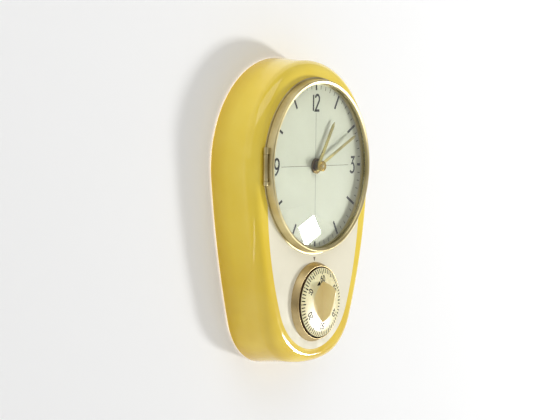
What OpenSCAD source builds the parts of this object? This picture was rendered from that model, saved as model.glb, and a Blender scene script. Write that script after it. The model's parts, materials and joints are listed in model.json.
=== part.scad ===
// Ceramic kitchen wall clock with a built-in sixty-minute timer.
// The face looks along -Y, the back rests on a wall at y = 0, +Z is up, and
// the origin is the middle of the hanging hole, on the plane of the wall.

/* [Ceramic body] */
// Depth of the ceramic body, from the wall to its front face
body_depth = 42; // [40:1:56]
// Thickness of the ceramic
wall = 7; // [6:0.5:8]
// Radius of the rounded shoulder between the side and the front
shoulder_r = 11.4; // [9:0.2:13]
// Width of ceramic outside the bezel at the round top
rim_margin = 16.5; // [15:0.5:26]
// How far the side spreads towards the wall
back_flare = 2.3; // [0:0.1:4]
// Radius of the long curve of each side
side_r = 720; // [600:10:900]
// Angle below the dial's centre at which the round top turns into the side
side_start = 6.5; // [4:0.5:9]
// Radius of the two lower corners
corner_r = 49; // [41:1:58]
// Radius of the lower edge
bottom_r = 152; // [130:1:180]
// Ceramic below the timer's centre
bottom_margin = 52.3; // [50:0.5:62]
// Radius of the long sides of the flat front
front_side_r = 300; // [260:5:400]
// Height of the centre of the flat front's lower end above the timer's centre
front_low_rise = 10.2; // [6:0.2:14]
// Height of the curved lip below the flat front
bottom_lip = 7.1; // [5:0.1:9]

/* [Hanging] */
// Height of the hanging hole above the dial's centre
hang_above = 72; // [70:0.5:74]
// Radius of the round part of the keyhole, which passes over a nail's head
hang_hole_r = 5; // [4:0.5:6]
// Radius of the keyhole's slot, which rests on the nail
hang_slot_r = 2.2; // [1.8:0.1:2.5]
// Thickness of the ceramic web with the keyhole
web_t = 6; // [5:0.5:8]

/* [Dial and bezel] */
// Radius of the bezel's opening, and of the visible dial
dial_open_r = 69.6; // [66:0.1:84]
// Height of the bezel's front above the dial
bezel_rise = 7; // [6.5:0.1:8]
// Thickness of the bezel's side wall
bezel_wall = 1.4; // [1.2:0.1:1.6]
// How far the dial lies behind the ceramic front
dial_sink = 0.7; // [0.5:0.1:1]
// Thickness of the dial
dial_t = 0.8; // [0.6:0.1:1]
// Thickness of the pan that carries the dial
pan_t = 1.2; // [1:0.1:1.4]
// Thickness of the glass
glass_t = 1.8; // [1.5:0.1:2]
// Height of the glass's dome
glass_rise = 7.5; // [7:0.1:9]
// Radius of the hinge's knuckles
knuckle_r = 1.9; // [1.8:0.05:2]
// Radius of the hinge pin
hinge_pin_r = 0.9; // [0.7:0.05:1]
// Half of the length of the hinge's middle knuckle
knuckle_half = 10.9; // [9:0.1:12]

/* [Hands] */
// Length of the hour hand, from its axis
hour_len = 44.5; // [38:0.5:48]
// Length of the minute hand, from its axis
minute_len = 60.5; // [54:0.5:63]
// Where the hour hand points at rest, clockwise from twelve
hour_angle = 33; // [0:1:359]
// Where the minute hand points at rest, clockwise from twelve
minute_angle = 65; // [0:1:359]

/* [Clock movement] */
// Width of the movement's plates
plate_w = 50; // [49:1:53]
// Height of the movement's plates
plate_h = 60; // [60:1:64]
// Thickness of a brass plate
plate_t = 1.5; // [1.2:0.1:1.8]
// Distance between the two plates
plate_gap = 22.3; // [22:0.1:24]
// Radius of the centre arbor
arbor_r = 0.95; // [0.8:0.05:1]
// Module of the centre wheel's teeth
train_module = 0.5; // [0.45:0.01:0.5]

/* [Battery] */
// Radius of the battery, a baby cell
cell_r = 13.1; // [12:0.1:13.1]
// Length of the battery
cell_len = 49; // [44:0.5:50]
// Distance of the battery's axis below the dial's centre
cell_drop = 60; // [58:0.5:61]

/* [Timer] */
// Outer radius of the timer's brass ring
timer_ring_r = 34; // [32:0.5:40]
// Height of the brass ring above the ceramic
timer_ring_h = 6; // [5:0.5:7]
// Thickness of the brass ring
timer_ring_t = 3.3; // [2:0.1:4]
// Gap between the brass ring and the turning dial
timer_gap = 1.1; // [0.8:0.1:1.5]
// Height of the turning dial's dome above its edge
timer_dome = 5; // [4:0.5:6]
// Height of the grip's crest above the ceramic
grip_h = 23; // [20:0.5:25]
// Space between the bezel and the timer's ring
timer_space = 8.7; // [6:0.1:16]
// Radius of the timer's arbor
timer_arbor_r = 2.5; // [2:0.1:3]
// Radius of the timer's plates
timer_plate_r = 30; // [29:0.5:32]
// Radius of the bell
bell_r = 20; // [17:0.5:21]

/* [Hidden] */
$fn = 96;

// Clearances
running = 0.05;    // between a shaft and the bore it turns in
loose = 0.3;       // between a fixing and the hole it passes through
over = 1;          // how far a cutting shape reaches past what it cuts

// Heights of the main places above the origin
dial_z = -hang_above;
bezel_r = dial_open_r + 2.5 + bezel_wall;
timer_z = dial_z - bezel_r - timer_space - timer_ring_r;
cell_z = dial_z - cell_drop;

// Keyhole's slot, and where its web starts above the opening behind the dial
hang_slot_len = 9;
web_above = 18;

// Distances from the wall, all negative towards the front
front_y = -body_depth;
back_of_front_y = front_y + wall;
dial_y = front_y + dial_sink;
pan_y = dial_y + dial_t;
seat_y = pan_y + pan_t;
bezel_y = dial_y - bezel_rise;

// Outline of the ceramic body: a round top, two long sides, two corners and a
// lower edge, all arcs that meet in a common tangent. Places are [x, z].
top_r = bezel_r + rim_margin;
outline_drop = dial_z - timer_z + bottom_margin;
side_c = [-(side_r - top_r) * cos(side_start), dial_z + (side_r - top_r) * sin(side_start)];
bottom_c = [0, dial_z - outline_drop + bottom_r];
// The corner's centre lies where its two tangent circles cross
reach_side = side_r - corner_r;
reach_bottom = bottom_r - corner_r;
span = norm(bottom_c - side_c);
along = (pow(reach_side, 2) - pow(reach_bottom, 2) + pow(span, 2)) / (2 * span);
across = sqrt(pow(reach_side, 2) - pow(along, 2));
aim = (bottom_c - side_c) / span;
corner_c = side_c + along * aim + across * [aim[1], -aim[0]];
side_end = atan2(corner_c[1] - side_c[1], corner_c[0] - side_c[0]);
corner_end = atan2(corner_c[1] - bottom_c[1], corner_c[0] - bottom_c[0]);
// Outline of the flat front: the same round top, less the shoulder, and a
// rounder lower end about its own centre
front_low_c = [0, timer_z + front_low_rise];
front_low_r = outline_drop - bottom_lip - (dial_z - front_low_c[1]);
front_reach = front_side_r - top_r + shoulder_r;
front_low_reach = front_side_r - front_low_r;
front_span = dial_z - front_low_c[1];
front_side_drop = (pow(front_span, 2) + pow(front_reach, 2) - pow(front_low_reach, 2)) / (2 * front_span);
front_side_c = [-sqrt(pow(front_reach, 2) - pow(front_side_drop, 2)), dial_z - front_side_drop];
front_start = atan2(dial_z - front_side_c[1], -front_side_c[0]);
front_end = atan2(front_low_c[1] - front_side_c[1], -front_side_c[0]);
corner_run = corner_r * (side_end - corner_end);
bottom_run = bottom_r * (corner_end + 90);
front_turn = front_end - (front_end + 90) * corner_run / (corner_run + bottom_run);

// Dial, pan and bezel
pan_r = dial_open_r + 1.2;
lip_inner_r = dial_open_r + 0.2;
lip_front_y = dial_y - 2.3;
recess_r = pan_r + 1.8;
opening_r = sqrt(pow(plate_w / 2, 2) + pow(plate_h / 2, 2)) + 1;
bezel_back_y = front_y - loose;
bezel_inner_r = bezel_r - bezel_wall;
glass_r = bezel_inner_r - 0.5;
glass_edge_y = bezel_y + 1.8;
glass_sphere_r = (pow(glass_r, 2) + pow(glass_rise, 2)) / (2 * glass_rise);
retainer_r = 0.5;
hinge_x = -(bezel_r + knuckle_r + 0.6);
hinge_y = front_y - knuckle_r - 0.8;
hinge_notch_y = front_y - 1.6;
upper_knuckle = 5.6;
lower_knuckle = 3.6;
knuckle_play = 0.25;
hinge_low = dial_z - knuckle_half - knuckle_play - lower_knuckle;
strap_t = 1.4;
catch_t = 0.6;
catch_w = 1.2;
catch_turn = 7;
tab_w = 8;
tab_t = 2.4;
tab_reach = 2.6;
stud_r = 1.5;
stud_end = 1.5;
stud_places = [[-50, 30], [50, 30], [-33, 2 - cell_drop], [33, 2 - cell_drop]];
washer_t = 1.6;
nut_t = 2.4;
washer_r = 4.5;
nut_r = 3.2;
stud_back_y = back_of_front_y + washer_t + nut_t + stud_end;

// Stack at the centre of the dial
dial_nut_t = 1.7;
dial_nut_r = 6.6;
hub_gap = 0.4;
hand_tip = 4;
hour_hand_y = dial_y - 2.5;
hand_t = 0.6;
minute_hand_y = hour_hand_y - 1.5;
hand_nut_y = minute_hand_y - hand_t - hub_gap;
hand_nut_r = 4.5;
hand_nut_t = 3.4;
bush_r = 4.2;
hour_pipe_r = 2.5;
minute_pipe_r = arbor_r + 0.75;

// Clock movement, with its plates' distances from the wall
front_plate_y = seat_y + 0.5 + plate_t;
back_plate_y = front_plate_y + plate_gap + plate_t;
hour_wheel_y = front_plate_y + 1.9;
minute_gear_y = front_plate_y + 4.1;
centre_wheel_y = front_plate_y + 7.5;
third_wheel_y = front_plate_y + 12.3;
balance_y = front_plate_y + 16.8;
pillar_places = [for (sx = [-1, 1]) for (sz = [-1, 1]) [sx * (plate_w / 2 - 3), sz * (plate_h / 2 - 3)]];

// Teeth: a trapezium whose widths are shares of the pitch
addendum = 0.75;
dedendum = 1.15;
tip_share = 0.09;
root_share = 0.29;
// Windows of a wheel: their distance from its centre and their radius, as shares of its diameter
window_reach = 0.29;
window_size = 0.12;
cannon_teeth = 12;
minute_teeth = 36;
minute_pinion_teeth = 10;
hour_teeth = 40;
centre_teeth = 64;
third_pinion_teeth = 8;
third_teeth = 60;
motion_module = 0.6;
third_module = 0.45;
minute_axis_r = motion_module * (cannon_teeth + minute_teeth) / 2;
hour_module = 2 * minute_axis_r / (hour_teeth + minute_pinion_teeth);
third_axis_r = train_module * (centre_teeth + third_pinion_teeth) / 2;
minute_dir = 135;
third_dir = -60;
minute_c = [minute_axis_r * cos(minute_dir), dial_z + minute_axis_r * sin(minute_dir)];
third_c = [third_axis_r * cos(third_dir), dial_z + third_axis_r * sin(third_dir)];
balance_c = [-13, dial_z - 12];
balance_r = 10.5;
coil_c = [-19, dial_z - 19];
pivot_r = 0.8;
pivot_gap = 0.4;
arbor_len = back_plate_y - front_plate_y + plate_t - 2 * pivot_gap;
gear_t = 1.2;
balance_rim = 2;
balance_t = 2;
magnet_r = 1.6;
magnet_reach = 8.4;
coil_r = 4.6;
coil_post_r = 1.5;
coil_t = 4.4;
coil_back_y = balance_y - 4;
board_w = 22;
board_h = 16;
board_t = 1.6;
bush_flange_r = 6.5;
bush_flange_t = 0.5;

// Small screws that hold the plates to their pillars
plate_screw_r = 1.2;
plate_screw_in = 3.4;
screw_head_t = 1.4;
screw_slot_w = 0.7;
pillar_r = 2.3;

// Battery and its holder
holder_t = 1.6;
holder_rise = 4;
flange_w = 14;
terminal_r = 3;
terminal_h = 1;
contact_w = 10;
contact_t = 0.5;
cell_play = 0.2;
holder_half = cell_len / 2 + contact_t + 2 * cell_play + holder_t;
cell_y = back_of_front_y + holder_t + 0.2 + cell_r;
flange_half = 37.5;

// Timer
timer_dial_r = timer_ring_r - timer_ring_t - timer_gap;
timer_edge_y = front_y - timer_ring_h - 1;
timer_top_y = timer_edge_y - timer_dome;
timer_base_t = 1;
timer_screw_x = 20;
timer_screw_places = [[-timer_screw_x, 0], [timer_screw_x, 0]];
arbor_space = 3.5;
timer_front_y = back_of_front_y + plate_t;
timer_gap_y = 17.5;
timer_back_y = timer_front_y + timer_gap_y + plate_t;
timer_arbor_len = timer_back_y - timer_front_y + plate_t - 2 * pivot_gap;
timer_pillar_r = timer_plate_r - 4;
timer_pillar_thick = 2;
timer_pillar_places = [for (a = [90, 210, 330]) timer_pillar_r * [cos(a), sin(a)]];
main_teeth = 60;
escape_pinion_teeth = 10;
timer_module = 0.5;
escape_axis_r = timer_module * (main_teeth + escape_pinion_teeth) / 2;
escape_dir = 150;
escape_c = [escape_axis_r * cos(escape_dir), timer_z + escape_axis_r * sin(escape_dir)];
escape_r = 6.2;
anchor_above = 10.4;
anchor_c = escape_c + [0, anchor_above];
anchor_spread = 62;
escape_teeth = 15;
escape_root_r = 4.6;
escape_lean = 16;
spring_y = timer_front_y + 6.3;
main_wheel_y = timer_front_y + 9.2;
alarm_y = timer_front_y + 12.6;
escape_y = timer_front_y + 13.2;
bell_y = timer_back_y + 9.5;
bell_t = 1.2;
bell_post_r = 3;
alarm_disc_r = 9;
hammer_reach = 24;
hammer_dir = -40;
hammer_c = [hammer_reach * cos(hammer_dir), timer_z + hammer_reach * sin(hammer_dir)];
hammer_turn = 72;
hammer_arm = 14.8;
hammer_t = 1.2;
hammer_y = timer_back_y + 3.4;

// ---- Helpers ----

// Puts a shape drawn in X and Y on an axis along Y: it stands on the plane
// y = back and grows towards the front
module facing(c, back, turn = 0) {
    translate([c[0], back, c[1]]) rotate([90, 0, 0]) rotate([0, 0, turn]) children();
}

// Cuts a round hole through a plate that stands on Z = 0
module hole(thick, r) translate([0, 0, -over]) cylinder(h = thick + 2 * over, r = r);

module disc(c, back, thick, r, bore = 0) {
    facing(c, back) difference() {
        cylinder(h = thick, r = r);
        if (bore > 0) hole(thick, bore);
    }
}

// Cuts holes of radius r through everything at the places given, relative to c
module drill(c, places, back, thick, r) {
    for (p = places) facing([c[0] + p[0], c[1] + p[1]], back) hole(thick, r);
}

function gear_points(n, m) =
    let (pitch_r = n * m / 2, out = pitch_r + addendum * m, in = pitch_r - dedendum * m)
    let (tooth = [[in, -root_share], [out, -tip_share], [out, tip_share], [in, root_share]])
    [for (i = [0:n - 1]) for (p = tooth) p[0] * [cos(360 / n * (i + p[1])), sin(360 / n * (i + p[1]))]];

// Angle at which gear b is in mesh with gear a, whose tooth points at phase_a;
// dir is the direction from a to b
function mesh_phase(teeth_a, teeth_b, phase_a, dir) =
    dir + 180 - (teeth_a / teeth_b) * (phase_a - dir) - 180 / teeth_b;

// Toothed wheel with round windows
module gear(c, back, thick, n, m, phase, bore, windows = 0) {
    facing(c, back, phase) difference() {
        linear_extrude(thick) polygon(gear_points(n, m));
        hole(thick, bore);
        for (i = [0:1:windows - 1]) rotate(i * 360 / windows)
            translate([n * m * window_reach, 0, 0]) hole(thick, n * m * window_size);
    }
}

module hexagon_nut(c, back, thick, r, bore) {
    facing(c, back) difference() {
        cylinder(h = thick, r = r, $fn = 6);
        hole(thick, bore);
    }
}

// Screw seen from its head: the head stands on y = head_back, and the shank
// runs from there towards the wall (length > 0) or the front (length < 0)
module screw(c, head_back, head_t, head_r, shank_r, length) {
    difference() {
        facing(c, head_back) cylinder(h = head_t, r = head_r);
        slot_y = length > 0 ? head_back - head_t : head_back;
        translate([c[0] - head_r - over, slot_y - 0.5, c[1] - screw_slot_w / 2])
            cube([2 * (head_r + over), 1, screw_slot_w]);
    }
    shank_back = length > 0 ? head_back + length : head_back - head_t;
    facing(c, shank_back) cylinder(h = abs(length), r = shank_r);
}

// Brass plate with rounded corners
module plate(c, back, w, h) {
    corner = 4;
    facing(c, back) linear_extrude(plate_t) union() {
        square([w - 2 * corner, h], center = true);
        square([w, h - 2 * corner], center = true);
        for (sx = [-1, 1]) for (sy = [-1, 1])
            translate([sx * (w / 2 - corner), sy * (h / 2 - corner)]) circle(r = corner);
    }
}

// ---- Ceramic body ----

// Points of an arc with their outward normals: [x, z, normal x, normal z]
function arc(c, r, from, to, steps) =
    [for (i = [0:steps - 1]) let (a = from + (to - from) * i / steps, n = [cos(a), sin(a)])
        concat(c + r * n, n)];

// Closes the right half of an outline with its mirror image
function both_halves(half) =
    concat([for (i = [len(half) - 1:-1:0]) half[i]],
        [for (i = [1:len(half) - 2]) [-half[i][0], half[i][1], -half[i][2], half[i][3]]]);

side_outline = both_halves(concat(
    arc([0, dial_z], top_r, 90, -side_start, 26),
    arc(side_c, side_r, -side_start, side_end, 8),
    arc(corner_c, corner_r, side_end, corner_end, 12),
    arc(bottom_c, bottom_r, corner_end, -90, 4),
    [[0, bottom_c[1] - bottom_r, 0, -1]]));

front_outline = both_halves(concat(
    arc([0, dial_z], top_r - shoulder_r, 90, front_start, 26),
    arc(front_side_c, front_side_r, front_start, front_end, 8),
    arc(front_low_c, front_low_r, front_end, front_turn, 12),
    arc(front_low_c, front_low_r, front_turn, -90, 4),
    [[0, front_low_c[1] - front_low_r, 0, -1]]));

// The side outline moved outwards by d
function moved(d) = [for (p = side_outline) [p[0] + d * p[2], p[1] + d * p[3]]];

// A ring of points on the quarter ellipse from the ring p to the front outline
function shoulder_ring(p, a) = [for (i = [0:len(p) - 1])
    p[i] + (1 - cos(a)) * ([front_outline[i][0], front_outline[i][1]] - p[i])];

function at_depth(ring, y) = [for (p = ring) [p[0], y, p[1]]];

// Rings of the shell, from the inside of the front round the rear edge to the
// outside of the front
shell_side_y = -(body_depth - shoulder_r);
shell_rings = concat(
    [for (a = [90:-22.5:0])
        at_depth(shoulder_ring(moved(-wall), a), shell_side_y - (shoulder_r - wall) * sin(a))],
    [at_depth(moved(back_flare - wall), 0), at_depth(moved(back_flare), 0)],
    [for (a = [0:9:90]) at_depth(shoulder_ring(moved(0), a), shell_side_y - shoulder_r * sin(a))]);

// Closed solid through a list of rings that all have the same number of points
module lofted(rings) {
    n = len(rings[0]);
    last = len(rings) - 1;
    polyhedron(
        points = [for (ring = rings) for (p = ring) p],
        faces = concat(
            [[for (j = [0:n - 1]) j], [for (j = [n - 1:-1:0]) last * n + j]],
            [for (k = [0:last - 1]) for (j = [0:n - 1]) let (next = (j + 1) % n)
                [k * n + j, (k + 1) * n + j, (k + 1) * n + next, k * n + next]]));
}

module ceramic_body() color("gold") difference() {
    union() {
        lofted(shell_rings);
        hanging_web();
    }
    facing([0, dial_z], seat_y) cylinder(h = body_depth, r = recess_r);
    facing([0, dial_z], 0) cylinder(h = body_depth, r = opening_r);
    drill([0, dial_z], stud_places, back_of_front_y, wall, stud_r + loose);
    drill([0, timer_z], [[0, 0]], back_of_front_y, wall, timer_arbor_r + arbor_space);
    drill([0, timer_z], timer_screw_places, back_of_front_y, wall, stud_r + loose);
}

module hanging_web() difference() {
    intersection() {
        facing([0, dial_z], 0) cylinder(h = web_t, r = top_r - 2);
        translate([-top_r, -web_t, dial_z + opening_r + web_above]) cube([2 * top_r, web_t, top_r]);
    }
    facing([0, 0], 0) hole(web_t, hang_hole_r);
    translate([-hang_slot_r, -web_t - over, 0]) cube([2 * hang_slot_r, web_t + 2 * over, hang_slot_len]);
    facing([0, hang_slot_len], 0) hole(web_t, hang_slot_r);
}

// ---- Dial, pan and bezel ----

module dial_pan() color("darkkhaki") difference() {
    union() {
        disc([0, dial_z], seat_y, pan_t, pan_r);
        facing([0, dial_z], seat_y) difference() {
            cylinder(h = seat_y - lip_front_y, r = pan_r);
            translate([0, 0, -over]) cylinder(h = body_depth, r = lip_inner_r);
        }
        translate([hinge_x, front_y - 1.3, dial_z - knuckle_half])
            cube([-hinge_x - lip_inner_r - 0.6, 1.2, 2 * knuckle_half]);
        translate([hinge_x, hinge_y, dial_z - knuckle_half]) cylinder(h = 2 * knuckle_half, r = knuckle_r);
    }
    translate([hinge_x, hinge_y, dial_z - 50]) cylinder(h = 100, r = hinge_pin_r + running);
    drill([0, dial_z], [[0, 0]], seat_y, pan_t, bush_r);
    drill([0, dial_z], stud_places, seat_y, pan_t, stud_r);
}

module pan_studs() color("silver")
    for (p = stud_places)
        disc([p[0], dial_z + p[1]], stud_back_y, stud_back_y - pan_y, stud_r);

module stud_washers() color("sienna")
    for (p = [stud_places[0], stud_places[1]])
        disc([p[0], dial_z + p[1]], back_of_front_y + washer_t, washer_t, washer_r, stud_r);

module stud_nuts() color("silver")
    for (p = stud_places)
        hexagon_nut([p[0], dial_z + p[1]], back_of_front_y + washer_t + nut_t, nut_t, nut_r, stud_r);

module dial_plate() color("ivory") disc([0, dial_z], pan_y, dial_t, dial_open_r + 0.1, bush_r);

module dial_nut() color("goldenrod") disc([0, dial_z], dial_y, dial_nut_t, dial_nut_r, bush_r);

module catch_spring() color("silver")
    facing([0, dial_z], front_y - 0.1, -catch_turn)
        rotate_extrude(angle = 2 * catch_turn) translate([pan_r, 0]) square([catch_t, catch_w]);

// Section of the bezel: X is the radius, Y the height above the ceramic front
bezel_section = let (back = front_y - bezel_back_y, top = front_y - bezel_y, edge = 2) concat(
    [[bezel_inner_r, back], [bezel_r, back], [bezel_r, top - edge]],
    [for (a = [15:15:75]) [bezel_r - edge * (1 - cos(a)), top - edge * (1 - sin(a))]],
    [[bezel_r - edge, top], [dial_open_r + 0.7, top], [dial_open_r, top - 0.5], [dial_open_r, top - 1.2]],
    [[bezel_inner_r - 0.7, top - 1.5], [bezel_inner_r, top - edge]]);

module bezel_ring() color("khaki") difference() {
    union() {
        facing([0, dial_z], front_y) rotate_extrude($fn = 180) polygon(bezel_section);
        bezel_knuckle(dial_z + knuckle_half + knuckle_play, upper_knuckle);
        bezel_knuckle(hinge_low, lower_knuckle);
    }
    // Notch that clears the hinge's fixed strap
    translate([-bezel_r - 5, hinge_notch_y, dial_z - knuckle_half - knuckle_play])
        cube([12, body_depth, 2 * (knuckle_half + knuckle_play)]);
    translate([hinge_x, hinge_y, dial_z - 50]) cylinder(h = 100, r = hinge_pin_r);
}

// Knuckle with the strap that joins it to the bezel's side wall
module bezel_knuckle(low, length) {
    translate([hinge_x, hinge_y, low]) cylinder(h = length, r = knuckle_r);
    difference() {
        translate([hinge_x, hinge_y - knuckle_r, low]) cube([-hinge_x - bezel_r + 5, strap_t, length]);
        facing([0, dial_z], 0) cylinder(h = 100, r = bezel_r - bezel_wall / 2);
    }
}

// Domed glass, cut from two spheres
module glass_lens() color("lightcyan", 0.4) {
    sink = glass_sphere_r - glass_rise;
    intersection() {
        facing([0, dial_z], glass_edge_y + glass_t) cylinder(h = glass_t + glass_rise + 1, r = glass_r);
        difference() {
            translate([0, glass_edge_y + sink, dial_z]) sphere(r = glass_sphere_r);
            translate([0, glass_edge_y + glass_t + sink, dial_z]) sphere(r = glass_sphere_r);
        }
    }
}

module glass_retainer() color("silver")
    facing([0, dial_z], glass_edge_y + glass_t + retainer_r)
        rotate_extrude() translate([bezel_inner_r - retainer_r - 0.05, 0]) circle(r = retainer_r, $fn = 24);

module hinge_pin() color("goldenrod")
    translate([hinge_x, hinge_y, hinge_low])
        cylinder(h = 2 * (knuckle_half + knuckle_play) + lower_knuckle + upper_knuckle, r = hinge_pin_r);

module catch_tab() color("goldenrod") difference() {
    translate([0, bezel_back_y - tab_t - 0.8, dial_z - tab_w / 2]) cube([bezel_r + tab_reach, tab_t, tab_w]);
    facing([0, dial_z], 0) cylinder(h = 100, r = bezel_r, $fn = 480);
}

// ---- Hands ----

// Pointed baton with a round boss; angle is measured clockwise from twelve
module hand(back, angle, length, wide, narrow, boss_r, bore) {
    neck = length - hand_tip;
    facing([0, dial_z], back, -angle) difference() {
        linear_extrude(hand_t) union() {
            polygon([[-wide / 2, 0], [wide / 2, 0], [narrow / 2, neck], [0, length], [-narrow / 2, neck]]);
            circle(r = boss_r);
        }
        hole(hand_t, bore);
    }
}

module hour_hand() color("peru")
    hand(hour_hand_y, hour_angle, hour_len, 3.8, 3.4, 4.4, hour_pipe_r);
module minute_hand() color("peru")
    hand(minute_hand_y, minute_angle, minute_len, 2.8, 2.4, 3.6, minute_pipe_r);
module hand_nut() color("goldenrod") disc([0, dial_z], hand_nut_y, hand_nut_t, hand_nut_r, arbor_r);

// ---- Clock movement ----

module movement_bush() color("goldenrod") {
    disc([0, dial_z], front_plate_y - plate_t, bush_flange_t, bush_flange_r, hour_pipe_r + running);
    disc([0, dial_z], front_plate_y, front_plate_y - dial_y + dial_nut_t, bush_r, hour_pipe_r + running);
}

module centre_arbor() color("silver")
    disc([0, dial_z], back_plate_y - 0.3, back_plate_y - 0.3 - hand_nut_y + hand_nut_t - 0.4, arbor_r);

cannon_phase = 0;
module cannon_pinion() color("goldenrod") {
    gear([0, dial_z], minute_gear_y + 0.2, 1.6, cannon_teeth, motion_module, cannon_phase, arbor_r);
    disc([0, dial_z], minute_gear_y - 1.4, minute_gear_y - 1.4 - hand_nut_y, minute_pipe_r, arbor_r);
}

minute_phase = mesh_phase(cannon_teeth, minute_teeth, cannon_phase, minute_dir);
module minute_wheel() color("goldenrod") {
    gear(minute_c, minute_gear_y, gear_t, minute_teeth, motion_module, minute_phase, pivot_r + running, 4);
    disc(minute_c, minute_gear_y - 1.2, 0.8, 2, pivot_r + running);
    gear(minute_c, minute_gear_y - 2, 1.6, minute_pinion_teeth, hour_module, 0, pivot_r + running);
}

module minute_stud() color("silver") {
    back = minute_gear_y + 0.6;
    disc(minute_c, back, back - front_plate_y, pivot_r);
}

hour_phase = mesh_phase(minute_pinion_teeth, hour_teeth, 0, minute_dir + 180);
module hour_wheel() color("goldenrod") {
    gear([0, dial_z], hour_wheel_y, gear_t, hour_teeth, hour_module, hour_phase, minute_pipe_r + running, 5);
    disc([0, dial_z], hour_wheel_y - 1.2, hour_wheel_y - 1.2 - hour_hand_y + hand_t + 0.1, hour_pipe_r,
        minute_pipe_r + running);
}

module centre_wheel() color("goldenrod")
    gear([0, dial_z], centre_wheel_y, gear_t, centre_teeth, train_module, 0, arbor_r, 5);

third_phase = mesh_phase(centre_teeth, third_pinion_teeth, 0, third_dir);
module third_wheel() color("goldenrod") {
    gear(third_c, centre_wheel_y + 0.4, 2, third_pinion_teeth, train_module, third_phase, pivot_r);
    disc(third_c, third_wheel_y - 1, third_wheel_y - 1 - centre_wheel_y - 0.4, 1.3, pivot_r);
    gear(third_c, third_wheel_y, 1, third_teeth, third_module, 0, pivot_r, 5);
}

module third_arbor() color("silver")
    disc(third_c, back_plate_y - pivot_gap, arbor_len, pivot_r);

module movement_front_plate() color("darkgoldenrod") difference() {
    plate([0, dial_z], front_plate_y, plate_w, plate_h);
    drill([0, dial_z], [[0, 0]], front_plate_y, plate_t, bush_r);
    drill(third_c, [[0, 0]], front_plate_y, plate_t, pivot_r + running);
    drill(balance_c, [[0, 0]], front_plate_y, plate_t, pivot_r + running);
}

module movement_back_plate() color("darkgoldenrod") difference() {
    plate([0, dial_z], back_plate_y, plate_w, plate_h);
    drill([0, dial_z], [[0, 0]], back_plate_y, plate_t, arbor_r + running);
    drill(third_c, [[0, 0]], back_plate_y, plate_t, pivot_r + running);
    drill(balance_c, [[0, 0]], back_plate_y, plate_t, pivot_r + running);
    drill([0, dial_z], pillar_places, back_plate_y, plate_t, plate_screw_r);
}

module movement_pillars() color("goldenrod") difference() {
    for (p = pillar_places)
        disc([p[0], dial_z + p[1]], back_plate_y - plate_t, plate_gap, pillar_r);
    drill([0, dial_z], pillar_places, back_plate_y, plate_t + plate_screw_in, plate_screw_r);
}

module movement_screws() color("silver")
    for (p = pillar_places)
        screw([p[0], dial_z + p[1]], back_plate_y + screw_head_t, screw_head_t, 2.5, plate_screw_r,
            -plate_t - plate_screw_in);

module balance_wheel() color("goldenrod") facing(balance_c, balance_y) difference() {
    union() {
        difference() {
            cylinder(h = balance_t, r = balance_r);
            hole(balance_t, balance_r - balance_rim);
        }
        translate([-balance_r + 1, -1, 0]) cube([2 * balance_r - 2, 2, balance_t]);
        cylinder(h = balance_t, r = 2);
    }
    hole(balance_t, pivot_r);
}

module balance_staff() color("silver")
    disc(balance_c, back_plate_y - pivot_gap, arbor_len, pivot_r);

module balance_magnets() color("dimgray")
    for (s = [-1, 1])
        disc([balance_c[0] + s * magnet_reach, balance_c[1]], balance_y - balance_t, 1.5, magnet_r);

// Flat spiral strip, from r0 to r1 over a number of turns
function spiral(r0, r1, turns, steps) =
    [for (i = [0:steps]) let (share = i / steps, a = 360 * turns * share)
        (r0 + (r1 - r0) * share) * [cos(a), sin(a)]];

module spiral_strip(c, back, thick, r0, r1, turns, strip) {
    steps = turns * 24;
    outer = spiral(r0 + strip, r1 + strip, turns, steps);
    inner = spiral(r0, r1, turns, steps);
    facing(c, back) linear_extrude(thick) polygon(concat(outer, [for (i = [steps:-1:0]) inner[i]]));
}

module hairspring() color("slategray") spiral_strip(balance_c, balance_y + 2.2, 0.8, 1, 6.4, 6, 0.25);

module drive_coil() color("sienna") disc(coil_c, coil_back_y, coil_t, coil_r, coil_post_r);

module coil_post() color("ivory") disc(coil_c, coil_back_y, coil_back_y - front_plate_y, coil_post_r);

module circuit_board() color("peru")
    translate([-board_w / 2, back_plate_y, dial_z + 8]) cube([board_w, board_t, board_h]);

module transistor() color("dimgray") disc([-4, dial_z + 16], back_plate_y + board_t + 4, 4, 2.6);

// ---- Battery ----

module along_x(half, r) rotate([0, 90, 0]) translate([0, 0, -half]) cylinder(h = 2 * half, r = r);

module battery() color("steelblue") translate([0, cell_y, cell_z]) {
    along_x(cell_len / 2 - terminal_h, cell_r);
    translate([cell_len / 2 - terminal_h, 0, 0]) rotate([0, 90, 0]) cylinder(h = terminal_h, r = terminal_r);
}

// Tray that is open towards the wall, with a flange at each end
module battery_holder() color("black") difference() {
    union() {
        translate([-holder_half, back_of_front_y, cell_z - cell_r - holder_t - cell_play])
            cube([2 * holder_half, cell_y - back_of_front_y + holder_rise,
                2 * (cell_r + holder_t + cell_play)]);
        translate([-flange_half, back_of_front_y, cell_z - flange_w / 2])
            cube([2 * flange_half, holder_t, flange_w]);
    }
    translate([0, cell_y, cell_z]) along_x(holder_half - holder_t, cell_r + cell_play);
    translate([-holder_half + holder_t, cell_y, cell_z - cell_r - cell_play])
        cube([2 * (holder_half - holder_t), 20, 2 * (cell_r + cell_play)]);
    drill([0, dial_z], [stud_places[2], stud_places[3]], back_of_front_y + holder_t, holder_t, stud_r);
}

module battery_contacts() color("silver")
    for (s = [-1, 1])
        translate([s * (holder_half - holder_t - contact_t / 2), cell_y, cell_z])
            cube([contact_t, contact_w, contact_w], center = true);

// ---- Timer ----

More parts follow.
